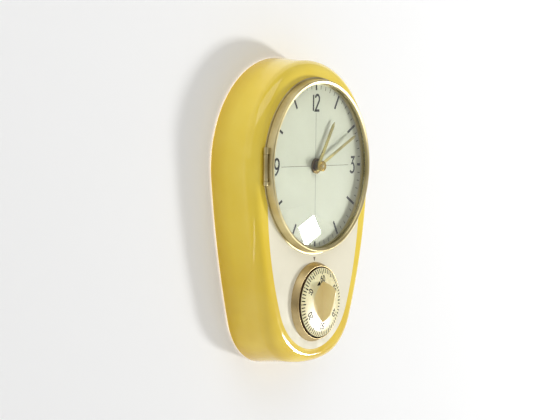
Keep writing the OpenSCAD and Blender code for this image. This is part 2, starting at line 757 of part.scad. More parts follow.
module timer_ring() color("darkgoldenrod") {
    disc([0, timer_z], front_y, timer_ring_h, timer_ring_r, timer_ring_r - timer_ring_t);
    difference() {
        disc([0, timer_z], front_y, timer_base_t, timer_ring_r - timer_ring_t + 0.5,
            timer_arbor_r + arbor_space);
        drill([0, timer_z], timer_screw_places, front_y, timer_base_t, stud_r);
    }
}

module timer_screws() color("silver")
    for (x = [-timer_screw_x, timer_screw_x])
        screw([x, timer_z], front_y - timer_base_t, screw_head_t, 2.8, stud_r,
            timer_base_t + wall + plate_t + 0.4);

// Section of the turning dial: a thin dome with a skirt and a hub
timer_dome_r = (pow(timer_dial_r, 2) + pow(timer_dome, 2)) / (2 * timer_dome);
function dome(x) = sqrt(pow(timer_dome_r, 2) - pow(x, 2)) - timer_dome_r + timer_dome;
timer_shell = 1.6;
timer_hub_r = timer_arbor_r + 2.5;
timer_skirt = 3.4;
timer_section = concat(
    [[timer_dial_r, -timer_skirt]],
    [for (i = [0:16]) [timer_dial_r * (1 - i / 16), dome(timer_dial_r * (1 - i / 16))]],
    [[0, timer_dome - timer_shell]],
    [for (i = [1:10]) let (x = timer_hub_r + (timer_dial_r - timer_shell - timer_hub_r) * i / 10)
        [x, dome(x) - timer_shell]],
    [[timer_dial_r - timer_shell, -timer_skirt]]);

module timer_dial() color("cornsilk") difference() {
    union() {
        facing([0, timer_z], timer_edge_y) rotate_extrude() polygon(timer_section);
        facing([0, timer_z], timer_edge_y + timer_skirt)
            cylinder(h = timer_skirt + timer_dome - timer_shell / 2, r = timer_hub_r);
    }
    facing([0, timer_z], timer_edge_y + timer_skirt + 1)
        cylinder(h = timer_skirt + timer_dome - timer_shell + 1, r = timer_arbor_r);
}

// Grip: a low diamond that fills a saddle on the dome, with a tall fin whose
// crest is higher towards the pointing end
grip_top = front_y - grip_h;
module timer_grip() color("burlywood") difference() {
    union() {
        hull() {
            facing([0, timer_z], timer_top_y + 3) linear_extrude(0.5)
                polygon([[0, 18], [13, 1], [0, -17], [-13, 1]]);
            facing([0, timer_z], timer_top_y - 1.5) linear_extrude(0.5)
                polygon([[0, 16], [3.6, 1], [0, -15], [-3.6, 1]]);
        }
        hull() {
            facing([0, timer_z], timer_top_y) linear_extrude(0.5)
                polygon([[0, 16.5], [3.6, 2], [0, -15.5], [-3.6, 2]]);
            translate([-0.9, grip_top, timer_z + 5]) cube([1.8, 0.5, 5]);
            translate([-0.9, grip_top + 5.2, timer_z - 9]) cube([1.8, 0.5, 2]);
        }
    }
    facing([0, timer_z], timer_edge_y) rotate_extrude() polygon(concat(
        [[timer_dial_r + 2, -10], [timer_dial_r + 2, 0]],
        [for (i = [0:16]) [timer_dial_r * (1 - i / 16), dome(timer_dial_r * (1 - i / 16))]],
        [[0, -10]]));
}

module timer_arbor() color("silver")
    disc([0, timer_z], timer_back_y - 0.4, timer_back_y - 0.4 - timer_top_y - timer_shell, timer_arbor_r);

module timer_front_plate() color("silver") difference() {
    disc([0, timer_z], timer_front_y, plate_t, timer_plate_r, timer_arbor_r + running);
    drill([0, timer_z], timer_screw_places, timer_front_y, plate_t, stud_r);
    drill(escape_c, [[0, 0]], timer_front_y, plate_t, pivot_r + running);
    drill(anchor_c, [[0, 0]], timer_front_y, plate_t, pivot_r + running);
}

module timer_back_plate() color("silver") difference() {
    disc([0, timer_z], timer_back_y, plate_t, timer_plate_r, timer_arbor_r + running);
    drill(escape_c, [[0, 0]], timer_back_y, plate_t, pivot_r + running);
    drill(anchor_c, [[0, 0]], timer_back_y, plate_t, pivot_r + running);
    drill([0, timer_z], timer_pillar_places, timer_back_y, plate_t, plate_screw_r);
}

module timer_pillars() color("goldenrod") difference() {
    for (p = timer_pillar_places)
        disc([p[0], timer_z + p[1]], timer_back_y - plate_t, timer_gap_y, timer_pillar_thick);
    drill([0, timer_z], timer_pillar_places, timer_back_y, plate_t + plate_screw_in, plate_screw_r);
}

module timer_pillar_screws() color("silver")
    for (p = timer_pillar_places)
        screw([p[0], timer_z + p[1]], timer_back_y + screw_head_t, screw_head_t, 2.4, plate_screw_r,
            -plate_t - plate_screw_in);

module mainspring() color("slategray")
    spiral_strip([0, timer_z], spring_y, 5.2, timer_arbor_r + 0.15, 14, 7, 0.5);

module timer_main_wheel() color("goldenrod")
    gear([0, timer_z], main_wheel_y, 1.5, main_teeth, timer_module, 0, timer_arbor_r, 5);

// Wheel of pointed teeth, its pinion and its arbor
escape_phase = mesh_phase(main_teeth, escape_pinion_teeth, 0, escape_dir);
module timer_escape_wheel() color("goldenrod") {
    gear(escape_c, main_wheel_y + 0.3, 2.1, escape_pinion_teeth, timer_module, escape_phase, pivot_r);
    step = 360 / escape_teeth;
    facing(escape_c, escape_y) difference() {
        linear_extrude(1) polygon([for (i = [0:escape_teeth - 1])
            for (p = [[escape_root_r, 0], [escape_r, escape_lean]])
                p[0] * [cos(step * i + p[1]), sin(step * i + p[1])]]);
        hole(1, pivot_r);
    }
    disc(escape_c, timer_back_y - pivot_gap, timer_arbor_len, pivot_r);
}

// Anchor that rocks beside the escape wheel, on its own arbor
module timer_anchor() color("silver") {
    facing(anchor_c, escape_y) linear_extrude(1) difference() {
        union() {
            circle(r = 2);
            for (s = [-1, 1]) rotate(-90 + s * anchor_spread) {
                translate([0, -0.6]) square([6.4, 1.2]);
                translate([5.4, -s * 0.6 - 0.6]) square([1, 1.2]);
            }
            translate([-5.5, 0.4]) square([11, 1.4]);
        }
        circle(r = pivot_r - 0.01);
    }
    disc(anchor_c, timer_back_y - pivot_gap, timer_arbor_len, pivot_r);
}

module alarm_disc() color("silver") facing([0, timer_z], alarm_y) difference() {
    cylinder(h = gear_t, r = alarm_disc_r);
    hole(gear_t, timer_arbor_r);
    rotate(70) translate([7.4, -1.2, -over]) cube([4, 2.4, 4]);
}

module bell_post() color("silver")
    difference() {
        disc([0, timer_z], bell_y - bell_t, bell_y - bell_t - timer_back_y, bell_post_r);
        drill([0, timer_z], [[0, 0]], bell_y - bell_t, 3, plate_screw_r);
    }

// Section of the bell: X is the radius, Y the distance in front of its back
bell_section = [[0, 0], [bell_r - 5, 0], [bell_r - 2.4, 1], [bell_r - 0.7, 3], [bell_r, 6.5],
    [bell_r - 1.1, 6.5], [bell_r - 1.8, 3.6], [bell_r - 3.3, 2], [bell_r - 5.4, bell_t], [0, bell_t]];
module bell() color("silver") difference() {
    facing([0, timer_z], bell_y) rotate_extrude() polygon(bell_section);
    drill([0, timer_z], [[0, 0]], bell_y, 2, plate_screw_r);
}

module bell_screw() color("silver") screw([0, timer_z], bell_y + 1.5, 1.5, 3, plate_screw_r, -bell_t - 3);

// Hammer: a pivot on the back plate, an arm, and a head beside the bell's rim
module bell_hammer() color("goldenrod") {
    disc(hammer_c, hammer_y, hammer_t, 2.2, 1 + running);
    facing(hammer_c, hammer_y, hammer_turn) translate([1.6, -0.8, 0]) cube([13, 1.6, hammer_t]);
    facing(hammer_c, hammer_y + 1.8, hammer_turn) translate([hammer_arm, 0, 0]) cylinder(h = 3.2, r = 2.4);
}

ceramic_body();
dial_pan();
pan_studs();
stud_washers();
stud_nuts();
dial_plate();
dial_nut();
catch_spring();
bezel_ring();
glass_lens();
glass_retainer();
hinge_pin();
catch_tab();
hour_hand();
hour_wheel();
minute_hand();
hand_nut();
centre_arbor();
cannon_pinion();
centre_wheel();
minute_wheel();
minute_stud();
third_wheel();
third_arbor();
movement_bush();
movement_front_plate();
movement_back_plate();
movement_pillars();
movement_screws();
balance_wheel();
balance_staff();
balance_magnets();
hairspring();
drive_coil();
coil_post();
circuit_board();
transistor();
battery();
battery_holder();
battery_contacts();
timer_ring();
timer_screws();
timer_dial();
timer_grip();
timer_arbor();
timer_front_plate();
timer_back_plate();
timer_pillars();
timer_pillar_screws();
mainspring();
timer_main_wheel();
timer_escape_wheel();
timer_anchor();
alarm_disc();
bell_post();
bell();
bell_screw();
bell_hammer();
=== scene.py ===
"""Looks of a ceramic kitchen wall clock with a built-in minute timer.

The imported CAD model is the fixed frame. Shapes are written in millimetres in
its frame: the face looks along -Y, +Z is up, and the wall is the plane y = 0.
"""

import json
import math

import bmesh
import bpy
from mathutils import Matrix, Vector


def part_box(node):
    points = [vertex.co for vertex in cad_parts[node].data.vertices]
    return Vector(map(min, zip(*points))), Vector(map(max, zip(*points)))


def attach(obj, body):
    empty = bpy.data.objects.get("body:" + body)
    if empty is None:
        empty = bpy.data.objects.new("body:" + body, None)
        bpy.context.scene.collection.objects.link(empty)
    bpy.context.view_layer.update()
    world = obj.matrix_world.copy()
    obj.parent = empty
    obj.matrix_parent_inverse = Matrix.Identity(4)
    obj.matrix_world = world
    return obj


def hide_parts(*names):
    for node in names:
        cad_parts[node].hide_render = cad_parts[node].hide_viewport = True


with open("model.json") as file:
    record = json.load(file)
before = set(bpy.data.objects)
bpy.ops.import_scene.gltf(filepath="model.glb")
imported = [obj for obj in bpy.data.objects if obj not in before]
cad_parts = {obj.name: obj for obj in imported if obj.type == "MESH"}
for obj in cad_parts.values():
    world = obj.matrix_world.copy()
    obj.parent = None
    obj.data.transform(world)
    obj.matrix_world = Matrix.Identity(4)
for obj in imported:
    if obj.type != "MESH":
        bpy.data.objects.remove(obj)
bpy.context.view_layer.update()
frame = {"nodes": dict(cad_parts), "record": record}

MM = 0.001


def box_mm(node):
    """Lowest and highest corner of a CAD node in millimetres."""
    low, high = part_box(node)
    return low / MM, high / MM


# ---- Places and sizes, from the frame ----

dial_low, dial_high = box_mm("dial_plate")
glass_low, glass_high = box_mm("glass_lens")
bezel_low, bezel_high = box_mm("bezel_ring")
ring_low, ring_high = box_mm("timer_ring")
knob_low, knob_high = box_mm("timer_dial")
nut_low, nut_high = box_mm("hand_nut")
pin_low, pin_high = box_mm("hinge_pin")

DIAL_Z = (dial_low.z + dial_high.z) / 2
DIAL_Y = dial_low.y
TIMER_Z = (ring_low.z + ring_high.z) / 2
FRONT_Y = box_mm("ceramic_body")[0].y
COLLAR_Y = box_mm("dial_nut")[0].y
CREST_Y = box_mm("timer_grip")[0].y
HOUR_BACK_Y = box_mm("hour_hand")[1].y
MINUTE_BACK_Y = box_mm("minute_hand")[1].y
BEZEL_R = bezel_high.x
BEZEL_Y = bezel_low.y
GLASS_R = glass_high.x
DIAL_R = dial_high.x - 0.1
RING_R = ring_high.x
KNOB_R = knob_high.x
KNOB_TOP_Y = knob_low.y

# ---- Shape of the ceramic body ----

WALL = 7.0
SHOULDER = 11.4  # radius of the rounding between the side and the front
FRONT_INSET = 0.6  # the flat front ends this far inside its outline
FLARE = 2.3  # the side widens by this much towards the wall
FLARE_POWER = 1.6
FOOT_START = 1.3  # the rear edge's rounding begins this far from the wall
FOOT_ROUND = 0.9
FOOT_OUTER = (0.25, 0.45)  # a row on the rounding: how far in, how far from the wall
FOOT_INNER = (0.1, 0.8)
SIDE_R = 720.0
SIDE_START = 6.5  # degrees below the dial's centre where the long sides begin
CORNER_R = 49.0
BOTTOM_R = 152.0
BOTTOM_MARGIN = 52.3  # from the timer's centre down to the bottom
FRONT_SIDE_R = 300.0
FRONT_LOW_RISE = 10.2  # the front's low arc has its centre this far above the timer's
BOTTOM_LIP = 7.1  # from the front's low end to the bottom
RIM_MARGIN = 16.5  # from the bezel to the outside at the top
RECESS_R = 72.6
OPENING_R = 40.05
SEAT_Y = -39.3
WEB_T = 6.0
WEB_INSET = 3.0  # the web's rim lies inside the outside by this much
WEB_MARGIN = 18.0  # from the opening up to the web's straight edge
KEY_R, KEY_SLOT_R, KEY_SLOT_Z = 5.0, 2.2, 9.0
TOP_R = BEZEL_R + RIM_MARGIN


# ---- Meshes ----

def placed(name, data):
    """A new object in the scene."""
    made = bpy.data.objects.new(name, data)
    bpy.context.scene.collection.objects.link(made)
    return made


def piece_of(mesh, name, body, materials, slot=None, replaces=(), angle=35.0):
    """A piece that rides on a body, smooth up to the given angle between faces."""
    mesh.polygons.foreach_set("use_smooth", [True] * len(mesh.polygons))
    mesh.set_sharp_from_angle(angle=math.radians(angle))
    piece = placed(name, mesh)
    for material in materials if isinstance(materials, (list, tuple)) else [materials]:
        mesh.materials.append(material)
    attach(piece, body)
    if replaces:
        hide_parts(*replaces)
    return piece


def add_mesh(name, points, faces, body, materials, face_slots=None, **more):
    """A piece from points in millimetres."""
    mesh = bpy.data.meshes.new(name)
    mesh.from_pydata([[c * MM for c in p] for p in points], [], faces)
    if face_slots is not None:
        mesh.polygons.foreach_set("material_index", face_slots)
    work = bmesh.new()
    work.from_mesh(mesh)
    bmesh.ops.remove_doubles(work, verts=work.verts, dist=1e-7)
    bmesh.ops.recalc_face_normals(work, faces=work.faces)
    work.to_mesh(mesh)
    work.free()
    return piece_of(mesh, name, body, materials, **more)


def rounded(corners, closed=True, steps=4):
    """A section through corners (x, y, radius), each rounded by its radius."""
    points = []
    count = len(corners)
    for i, (x, y, radius) in enumerate(corners):
        here = Vector((x, y))
        if radius == 0 or (not closed and i in (0, count - 1)):
            points.append((x, y))
            continue
        before = Vector(corners[i - 1][:2]) - here
        after = Vector(corners[(i + 1) % count][:2]) - here
        reach = radius / math.tan(before.angle(after) / 2)
        start = here + before.normalized() * min(reach, before.length * 0.49)
        end = here + after.normalized() * min(reach, after.length * 0.49)
        for k in range(steps + 1):
            t = k / steps
            p = start * (1 - t) ** 2 + here * 2 * t * (1 - t) + end * t ** 2
            points.append((p.x, p.y))
    return points


def revolve(section, centre_z, closed=True, segments=240):
    """Points and faces of a section (radius, y) turned about an axis along Y."""
    points, rings, faces = [], [], []
    for radius, y in section:
        if radius < 1e-6:
            rings.append([len(points)] * segments)
            points.append((0.0, y, centre_z))
            continue
        rings.append([len(points) + i for i in range(segments)])
        for i in range(segments):
            a = 2 * math.pi * i / segments
            points.append((radius * math.cos(a), y, centre_z + radius * math.sin(a)))
    pairs = list(zip(rings, rings[1:] + rings[:1])) if closed else list(zip(rings, rings[1:]))
    for one, other in pairs:
        for i in range(segments):
            j = (i + 1) % segments
            face = list(dict.fromkeys((one[i], other[i], other[j], one[j])))
            if len(face) > 2:
                faces.append(face)
    return points, faces


def turned(name, section, centre_z, body, material, closed=True, segments=240, **more):
    """A turned piece on an axis along Y."""
    points, faces = revolve(section, centre_z, closed, segments)
    return add_mesh(name, points, faces, body, material, **more)


def slab(outline, back_y, front_y):
    """Points and faces of a flat plate with an outline of (x, z) points."""
    n = len(outline)
    points = [(x, back_y, z) for x, z in outline] + [(x, front_y, z) for x, z in outline]
    faces = [list(range(n)), [n + i for i in range(n)]]
    faces += [[i, (i + 1) % n, n + (i + 1) % n, n + i] for i in range(n)]
    return points, faces


def bevel(piece, width, segments=3, angle=30.0):
    """Rounds a piece's sharp edges by width millimetres."""
    made = piece.modifiers.new("edges", "BEVEL")
    made.width = width * MM
    made.segments = segments
    made.limit_method = "ANGLE"
    made.angle_limit = math.radians(angle)
    made.harden_normals = True


def merge(*parts):
    """Several (points, faces) as one."""
    points, faces = [], []
    for p, f in parts:
        base = len(points)
        points += p
        faces += [[base + i for i in face] for face in f]
    return points, faces


def arc(centre, radius, start, end, steps):
    """Points of an arc with outward normals: (x, z, normal x, normal z), without its end."""
    found = []
    for i in range(steps):
        a = math.radians(start + (end - start) * i / steps)
        n = (math.cos(a), math.sin(a))
        found.append((centre[0] + radius * n[0], centre[1] + radius * n[1], n[0], n[1]))
    return found


def bearing(centre, point):
    """Direction from a centre to a point in degrees."""
    return math.degrees(math.atan2(point[1] - centre[1], point[0] - centre[0]))


def crossing(c1, r1, c2, r2, side):
    """Where two circles cross, on the given side of the line between their centres."""
    one, other = Vector(c1), Vector(c2)
    span = (other - one).length
    along = (r1 ** 2 - r2 ** 2 + span ** 2) / (2 * span)
    across = math.sqrt(r1 ** 2 - along ** 2)
    aim = (other - one) / span
    return one + aim * along + Vector((aim.y, -aim.x)) * across * side


def both_halves(half):
    """A right half, from the top down, as a whole outline that runs clockwise from the top."""
    return half + [(-x, z, -nx, nz) for x, z, nx, nz in half[-2:0:-1]]


# ---- Outlines of the ceramic ----

drop = DIAL_Z - TIMER_Z + BOTTOM_MARGIN
start = math.radians(SIDE_START)
side_c = (-(SIDE_R - TOP_R) * math.cos(start), DIAL_Z + (SIDE_R - TOP_R) * math.sin(start))
bottom_c = (0.0, DIAL_Z - drop + BOTTOM_R)
corner_c = crossing(side_c, SIDE_R - CORNER_R, bottom_c, BOTTOM_R - CORNER_R, 1)
side_end = bearing(side_c, corner_c)
corner_end = bearing(bottom_c, corner_c)

side_outline = both_halves(
    arc((0, DIAL_Z), TOP_R, 90, -SIDE_START, 64)
    + arc(side_c, SIDE_R, -SIDE_START, side_end, 24)
    + arc(corner_c, CORNER_R, side_end, corner_end, 32)
    + arc(bottom_c, BOTTOM_R, corner_end, -90, 12)
    + [(0.0, bottom_c[1] - BOTTOM_R, 0.0, -1.0)]
)

front_low_c = (0.0, TIMER_Z + FRONT_LOW_RISE)
front_low_r = drop - BOTTOM_LIP - (DIAL_Z - front_low_c[1])
front_top_r = TOP_R - SHOULDER
front_side_c = crossing((0, DIAL_Z), FRONT_SIDE_R - front_top_r, front_low_c, FRONT_SIDE_R - front_low_r, 1)
front_start = bearing(front_side_c, (0, DIAL_Z))
front_end = bearing(front_side_c, front_low_c)
corner_run = CORNER_R * (side_end - corner_end)
bottom_run = BOTTOM_R * (corner_end + 90)
front_turn = front_end - (front_end + 90) * corner_run / (corner_run + bottom_run)

front_outline = both_halves(
    arc((0, DIAL_Z), front_top_r, 90, front_start, 64)
    + arc(front_side_c, FRONT_SIDE_R, front_start, front_end, 24)
    + arc(front_low_c, front_low_r, front_end, front_turn, 32)
    + arc(front_low_c, front_low_r, front_turn, -90, 12)
    + [(0.0, front_low_c[1] - front_low_r, 0.0, -1.0)]
)

# Edge of the yellow glaze round the ivory front: two long arcs and a low one
IVORY_LOW_R = 53.3
IVORY_LOW_C = (0.0, DIAL_Z - 103.5)
IVORY_SIDE_R = 285.0
IVORY_SIDE_C = (-215.9, DIAL_Z - 19.4)


def ivory_edge(offset):
    """Right half of the glaze edge moved outwards, from the dial's recess down to the bottom."""
    side, low = IVORY_SIDE_R + offset, IVORY_LOW_R + offset
    top = crossing(IVORY_SIDE_C, side, (0, DIAL_Z), RECESS_R, 1)
    turn = bearing(IVORY_SIDE_C, IVORY_LOW_C)
    return (
        arc(IVORY_SIDE_C, side, bearing(IVORY_SIDE_C, top), turn, 40)
        + arc(IVORY_LOW_C, low, turn, -90, 48)
        + [(0.0, IVORY_LOW_C[1] - low, 0.0, -1.0)]
    )


def moved(outline, offset):
    """Places of an outline moved along its normals."""
    return [(x + offset * nx, z + offset * nz) for x, z, nx, nz in outline]


def toward(ring, share):
    """A ring moved towards the front outline by a share of the way."""
    return [
        (x + share * (f[0] - x), z + share * (f[1] - z))
        for (x, z), f in zip(ring, front_outline)
    ]


def ceramic_mesh():
    """Points, faces and a material number for each face."""
    yellow, ivory, bare_foot, bare_inside = range(4)
    points, faces, kinds = [], [], []
    n = len(side_outline)

    def ring(places, y):
        base = len(points)
        points.extend((x, y, z) for x, z in places)
        return [base + i for i in range(len(places))]

    def strip(one, other, kind, closed=True):
        for i in range(len(one) if closed else len(one) - 1):
            j = (i + 1) % len(one)
            faces.append([one[i], one[j], other[j], other[i]])
            kinds.append(kind)

    def strips(rows, kind):
        for one, other in zip(rows, rows[1:]):
            strip(one, other, kind)

    def side_ring(offset, y):
        return ring(moved(side_outline, offset), y)

    def shoulder_ring(offset, radius, share):
        """A row on the rounding from the side (share 0) to the front (share 1)."""
        a = math.pi / 2 * share
        places = toward(moved(side_outline, offset), 1 - math.cos(a))
        return ring(places, shoulder_y - radius * math.sin(a))

    def halves(outer, inner, kind, half_out, half_in):
        """The flat ring between two closed loops, each from the top to the bottom and back."""
        for out_side, in_side in (
            (outer[: half_out + 1], inner[: half_in + 1]),
            (outer[half_out:] + outer[:1], inner[half_in:] + inner[:1]),
        ):
            faces.append(out_side + in_side[::-1])
            kinds.append(kind)

    # Outside, from the flat front over the shoulder to the rear edge
    shoulder_y = FRONT_Y + SHOULDER
    outside = [ring(moved(front_outline, -FRONT_INSET), FRONT_Y)]
    outside += [shoulder_ring(0.0, SHOULDER, 1 - step / 16) for step in range(17)]
    for step in range(1, 9):
        t = step / 8
        outside.append(side_ring(FLARE * t ** FLARE_POWER, shoulder_y * (1 - t) - FOOT_START * t))
    outside.append(side_ring(FLARE - FOOT_OUTER[0], -FOOT_OUTER[1]))
    foot = [side_ring(FLARE - FOOT_ROUND, 0.0), side_ring(FLARE - WALL + FOOT_ROUND, 0.0)]
    inside = [side_ring(FLARE - WALL + FOOT_INNER[0], -FOOT_INNER[1]), side_ring(-WALL, shoulder_y)]
    inside += [shoulder_ring(-WALL, SHOULDER - WALL, step / 8) for step in range(1, 9)]
    strips(outside, yellow)
    strips([outside[-1], *foot, inside[0]], bare_foot)
    strips(inside, bare_inside)

    # Glaze edge: rows of the raised bead, from the yellow side to the ivory side
    bead = [(1.3, 0.0), (0.8, 0.008), (0.4, 0.018), (0.1, 0.018), (-0.1, 0.008), (-0.2, 0.0)]
    rows = []
    for offset, rise in bead:
        half = ivory_edge(offset)
        whole = half + [(-x, z, -nx, nz) for x, z, nx, nz in half[-2::-1]]
        rows.append(ring([(x, z) for x, z, _, _ in whole], FRONT_Y - rise))
    for one, other in zip(rows, rows[1:]):
        strip(one, other, yellow if one is not rows[-2] else ivory, closed=False)
    yellow_row, ivory_row = rows[0], rows[-1]

    # The recess's edge: yellow over the top, ivory below, the bead's ends between
    turn_at = bearing((0, DIAL_Z), points[yellow_row[0]][::2])
    low_at = bearing((0, DIAL_Z), points[ivory_row[0]][::2])
    top_half = ring([p[:2] for p in arc((0, DIAL_Z), RECESS_R, 90, turn_at, 72)], FRONT_Y)
    top_left = ring([(-points[i][0], points[i][2]) for i in top_half[:0:-1]], FRONT_Y)
    low_half = ring([p[:2] for p in arc((0, DIAL_Z), RECESS_R, low_at, -90, 48)[1:]], FRONT_Y)
    low_mid = ring([(0.0, DIAL_Z - RECESS_R)], FRONT_Y)
    low_left = ring([(-points[i][0], points[i][2]) for i in low_half[::-1]], FRONT_Y)
    right_ends = [row[0] for row in rows]
    left_ends = [row[-1] for row in rows]
    edge = top_half + right_ends + low_half + low_mid + low_left + left_ends[::-1] + top_left

    # Flat yellow and flat ivory
    inner_loop = top_half + yellow_row + top_left
    halves(outside[0], inner_loop, yellow, n // 2, len(inner_loop) // 2)
    faces.append(ivory_row + (low_half + low_mid + low_left)[::-1])
    kinds.append(ivory)

    # Recess, seat, opening and the inside of the front
    seat = ring([points[i][::2] for i in edge], SEAT_Y)
    strip(edge, seat, ivory)
    hole_half = arc((0, DIAL_Z), OPENING_R, 90, -90, 48) + [(0.0, DIAL_Z - OPENING_R, 0, -1)]
    round_hole = [p[:2] for p in both_halves(hole_half)]
    opening = ring(round_hole, SEAT_Y)
    halves(seat, opening, bare_inside, len(edge) // 2, len(opening) // 2)
    rear = ring(round_hole, FRONT_Y + WALL)
    strip(opening, rear, bare_inside)
    halves(inside[-1], rear, bare_inside, n // 2, len(rear) // 2)
    return points, faces, kinds


def keyhole_web(body, material):
    """The ceramic bridge at the top with the keyhole that hangs on a nail."""
    curve = bpy.data.curves.new("hanging_web", "CURVE")
    curve.dimensions = "2D"
    curve.fill_mode = "BOTH"
    edge_r = TOP_R - WEB_INSET
    chord = OPENING_R + WEB_MARGIN
    reach = math.degrees(math.acos(chord / edge_r))
    rim = [p[:2] for p in arc((0, DIAL_Z), edge_r, 90 - reach, 90 + reach, 48)]
    slot_half = math.degrees(math.asin(KEY_SLOT_R / KEY_R))
    key = [p[:2] for p in arc((0, 0), KEY_R, 90 + slot_half, 450 - slot_half, 40)]
    key += [p[:2] for p in arc((0, KEY_SLOT_Z), KEY_SLOT_R, 0, 180, 20)]
    for outline in (rim, key):
        spline = curve.splines.new("POLY")
        spline.points.add(len(outline) - 1)
        for point, (x, z) in zip(spline.points, outline):
            point.co = (x * MM, z * MM, 0.0, 1.0)
        spline.use_cyclic_u = True
    rim_round = 0.8
    curve.extrude = (WEB_T / 2 - rim_round) * MM
    curve.bevel_depth = rim_round * MM
    curve.bevel_resolution = 3
    curve.offset = -rim_round * MM
    drawn = placed("hanging_web", curve)
    drawn.matrix_world = Matrix.Translation((0, -WEB_T / 2 * MM, 0)) @ Matrix.Rotation(math.pi / 2, 4, "X")
    bpy.context.view_layer.update()
    graph = bpy.context.evaluated_depsgraph_get()
    mesh = bpy.data.meshes.new_from_object(drawn.evaluated_get(graph))
    mesh.transform(drawn.matrix_world)
    bpy.data.objects.remove(drawn)
    mesh.materials.clear()
    piece_of(mesh, "hanging_web", body, material, slot="yellow_glaze", angle=40)


# ---- Printing ----

def bow(cx, cz, rx, rz, start, end, steps=14):
    """Points on an arc of an ellipse."""
    found = []
    for i in range(steps + 1):
        a = math.radians(start + (end - start) * i / steps)
        found.append((cx + rx * math.cos(a), cz + rz * math.sin(a)))
    return found


# Strokes of each numeral in a cell one high, with its width
NUMERALS = {
    "0": (0.50, [bow(0.25, 0.5, 0.25, 0.5, 90, 450, 32)]),
    "1": (0.10, [[(0.05, 0.0), (0.05, 1.0)]]),
    "2": (0.50, [bow(0.25, 0.74, 0.24, 0.26, 165, -25) + [(0.02, 0.02), (0.5, 0.02)]]),
    "3": (0.48, [[(0.05, 0.98), (0.44, 0.98), (0.19, 0.6)] + bow(0.2, 0.31, 0.27, 0.31, 80, -145)]),
    "4": (0.52, [[(0.39, 0.0), (0.39, 0.98), (0.02, 0.27), (0.54, 0.27)]]),
    "5": (0.48, [[(0.44, 0.98), (0.09, 0.98), (0.05, 0.57)] + bow(0.2, 0.32, 0.27, 0.32, 110, -145)]),
    "6": (0.50, [bow(0.25, 0.3, 0.25, 0.3, 150, 510, 30), bow(0.62, 0.3, 0.62, 0.72, 180, 108, 10)]),
    "9": (0.50, [bow(0.25, 0.7, 0.25, 0.3, -30, 330, 30), bow(-0.12, 0.7, 0.62, 0.72, 0, -72, 10)]),
}


def stroke(path, width):
    """Points and faces of a flat ribbon along a path of (x, z) points."""
    points = []
    closed = (Vector(path[0]) - Vector(path[-1])).length < 1e-6
    for i, here in enumerate(path):
        before = Vector(path[i - 1]) if i else (Vector(path[-2]) if closed else None)
        after = Vector(path[i + 1]) if i < len(path) - 1 else (Vector(path[1]) if closed else None)
        here = Vector(here)
        one = (here - before).normalized() if before else (after - here).normalized()
        other = (after - here).normalized() if after else one
        aim = (one + other).normalized()
        spread = width / 2 / max(aim.dot(one), 0.45)
        across = Vector((-aim.y, aim.x)) * spread
        points += [tuple(here + across), tuple(here - across)]
    faces = [[2 * i, 2 * i + 1, 2 * i + 3, 2 * i + 2] for i in range(len(path) - 1)]
    return points, faces


def number(text, centre, height, width, squeeze=1.0, turn=0.0, gap=0.16):
    """Ribbons of a number about its centre; turn is counter-clockwise in degrees."""
    total = sum(NUMERALS[c][0] for c in text) + gap * (len(text) - 1)
    x, parts = -total / 2, []
    spin = math.radians(turn)
    for c in text:
        for path in NUMERALS[c][1]:
            placed = []
            for px, pz in path:
                u, v = (x + px) * height * squeeze, (pz - 0.5) * height
                placed.append((
                    centre[0] + u * math.cos(spin) - v * math.sin(spin),
                    centre[1] + u * math.sin(spin) + v * math.cos(spin),
                ))
            parts.append(stroke(placed, width))
        x += NUMERALS[c][0] + gap
    return parts


def tick(angle, inner, outer, width):
    """A radial mark; angle is clockwise from the top in degrees."""
    a = math.radians(angle)
    aim = (math.sin(a), math.cos(a))
    return stroke([(aim[0] * r, aim[1] * r) for r in (inner, (inner + outer) / 2, outer)], width)


def printed(name, parts, centre_z, height_at, body, material, thick=0.03):
    """Ink on a surface; height_at gives the surface's y for a point relative to the centre."""
    flat, faces = merge(*parts)
    n = len(flat)
    points = [(x, height_at(x, z) + 0.02, z + centre_z) for x, z in flat]
    points += [(x, height_at(x, z) - thick, z + centre_z) for x, z in flat]
    solid = [list(f) for f in faces] + [[n + i for i in f] for f in faces]
    uses = {}
    for f in faces:
        for i, a in enumerate(f):
            pair = frozenset((a, f[(i + 1) % len(f)]))
            uses[pair] = uses.get(pair, 0) + 1
    for pair, count in uses.items():
        if count == 1:
            a, b = sorted(pair)
            solid.append([a, b, n + b, n + a])
    return add_mesh(name, points, solid, body, material, angle=20)


# ---- Materials ----

def srgb(r, g, b):
    """A colour written as 0 to 255 in the usual screen scale, as linear light."""
    def linear(c):
        c /= 255
        return c / 12.92 if c <= 0.04045 else ((c + 0.055) / 1.055) ** 2.4
    return (linear(r), linear(g), linear(b), 1.0)


LOOKS = {}


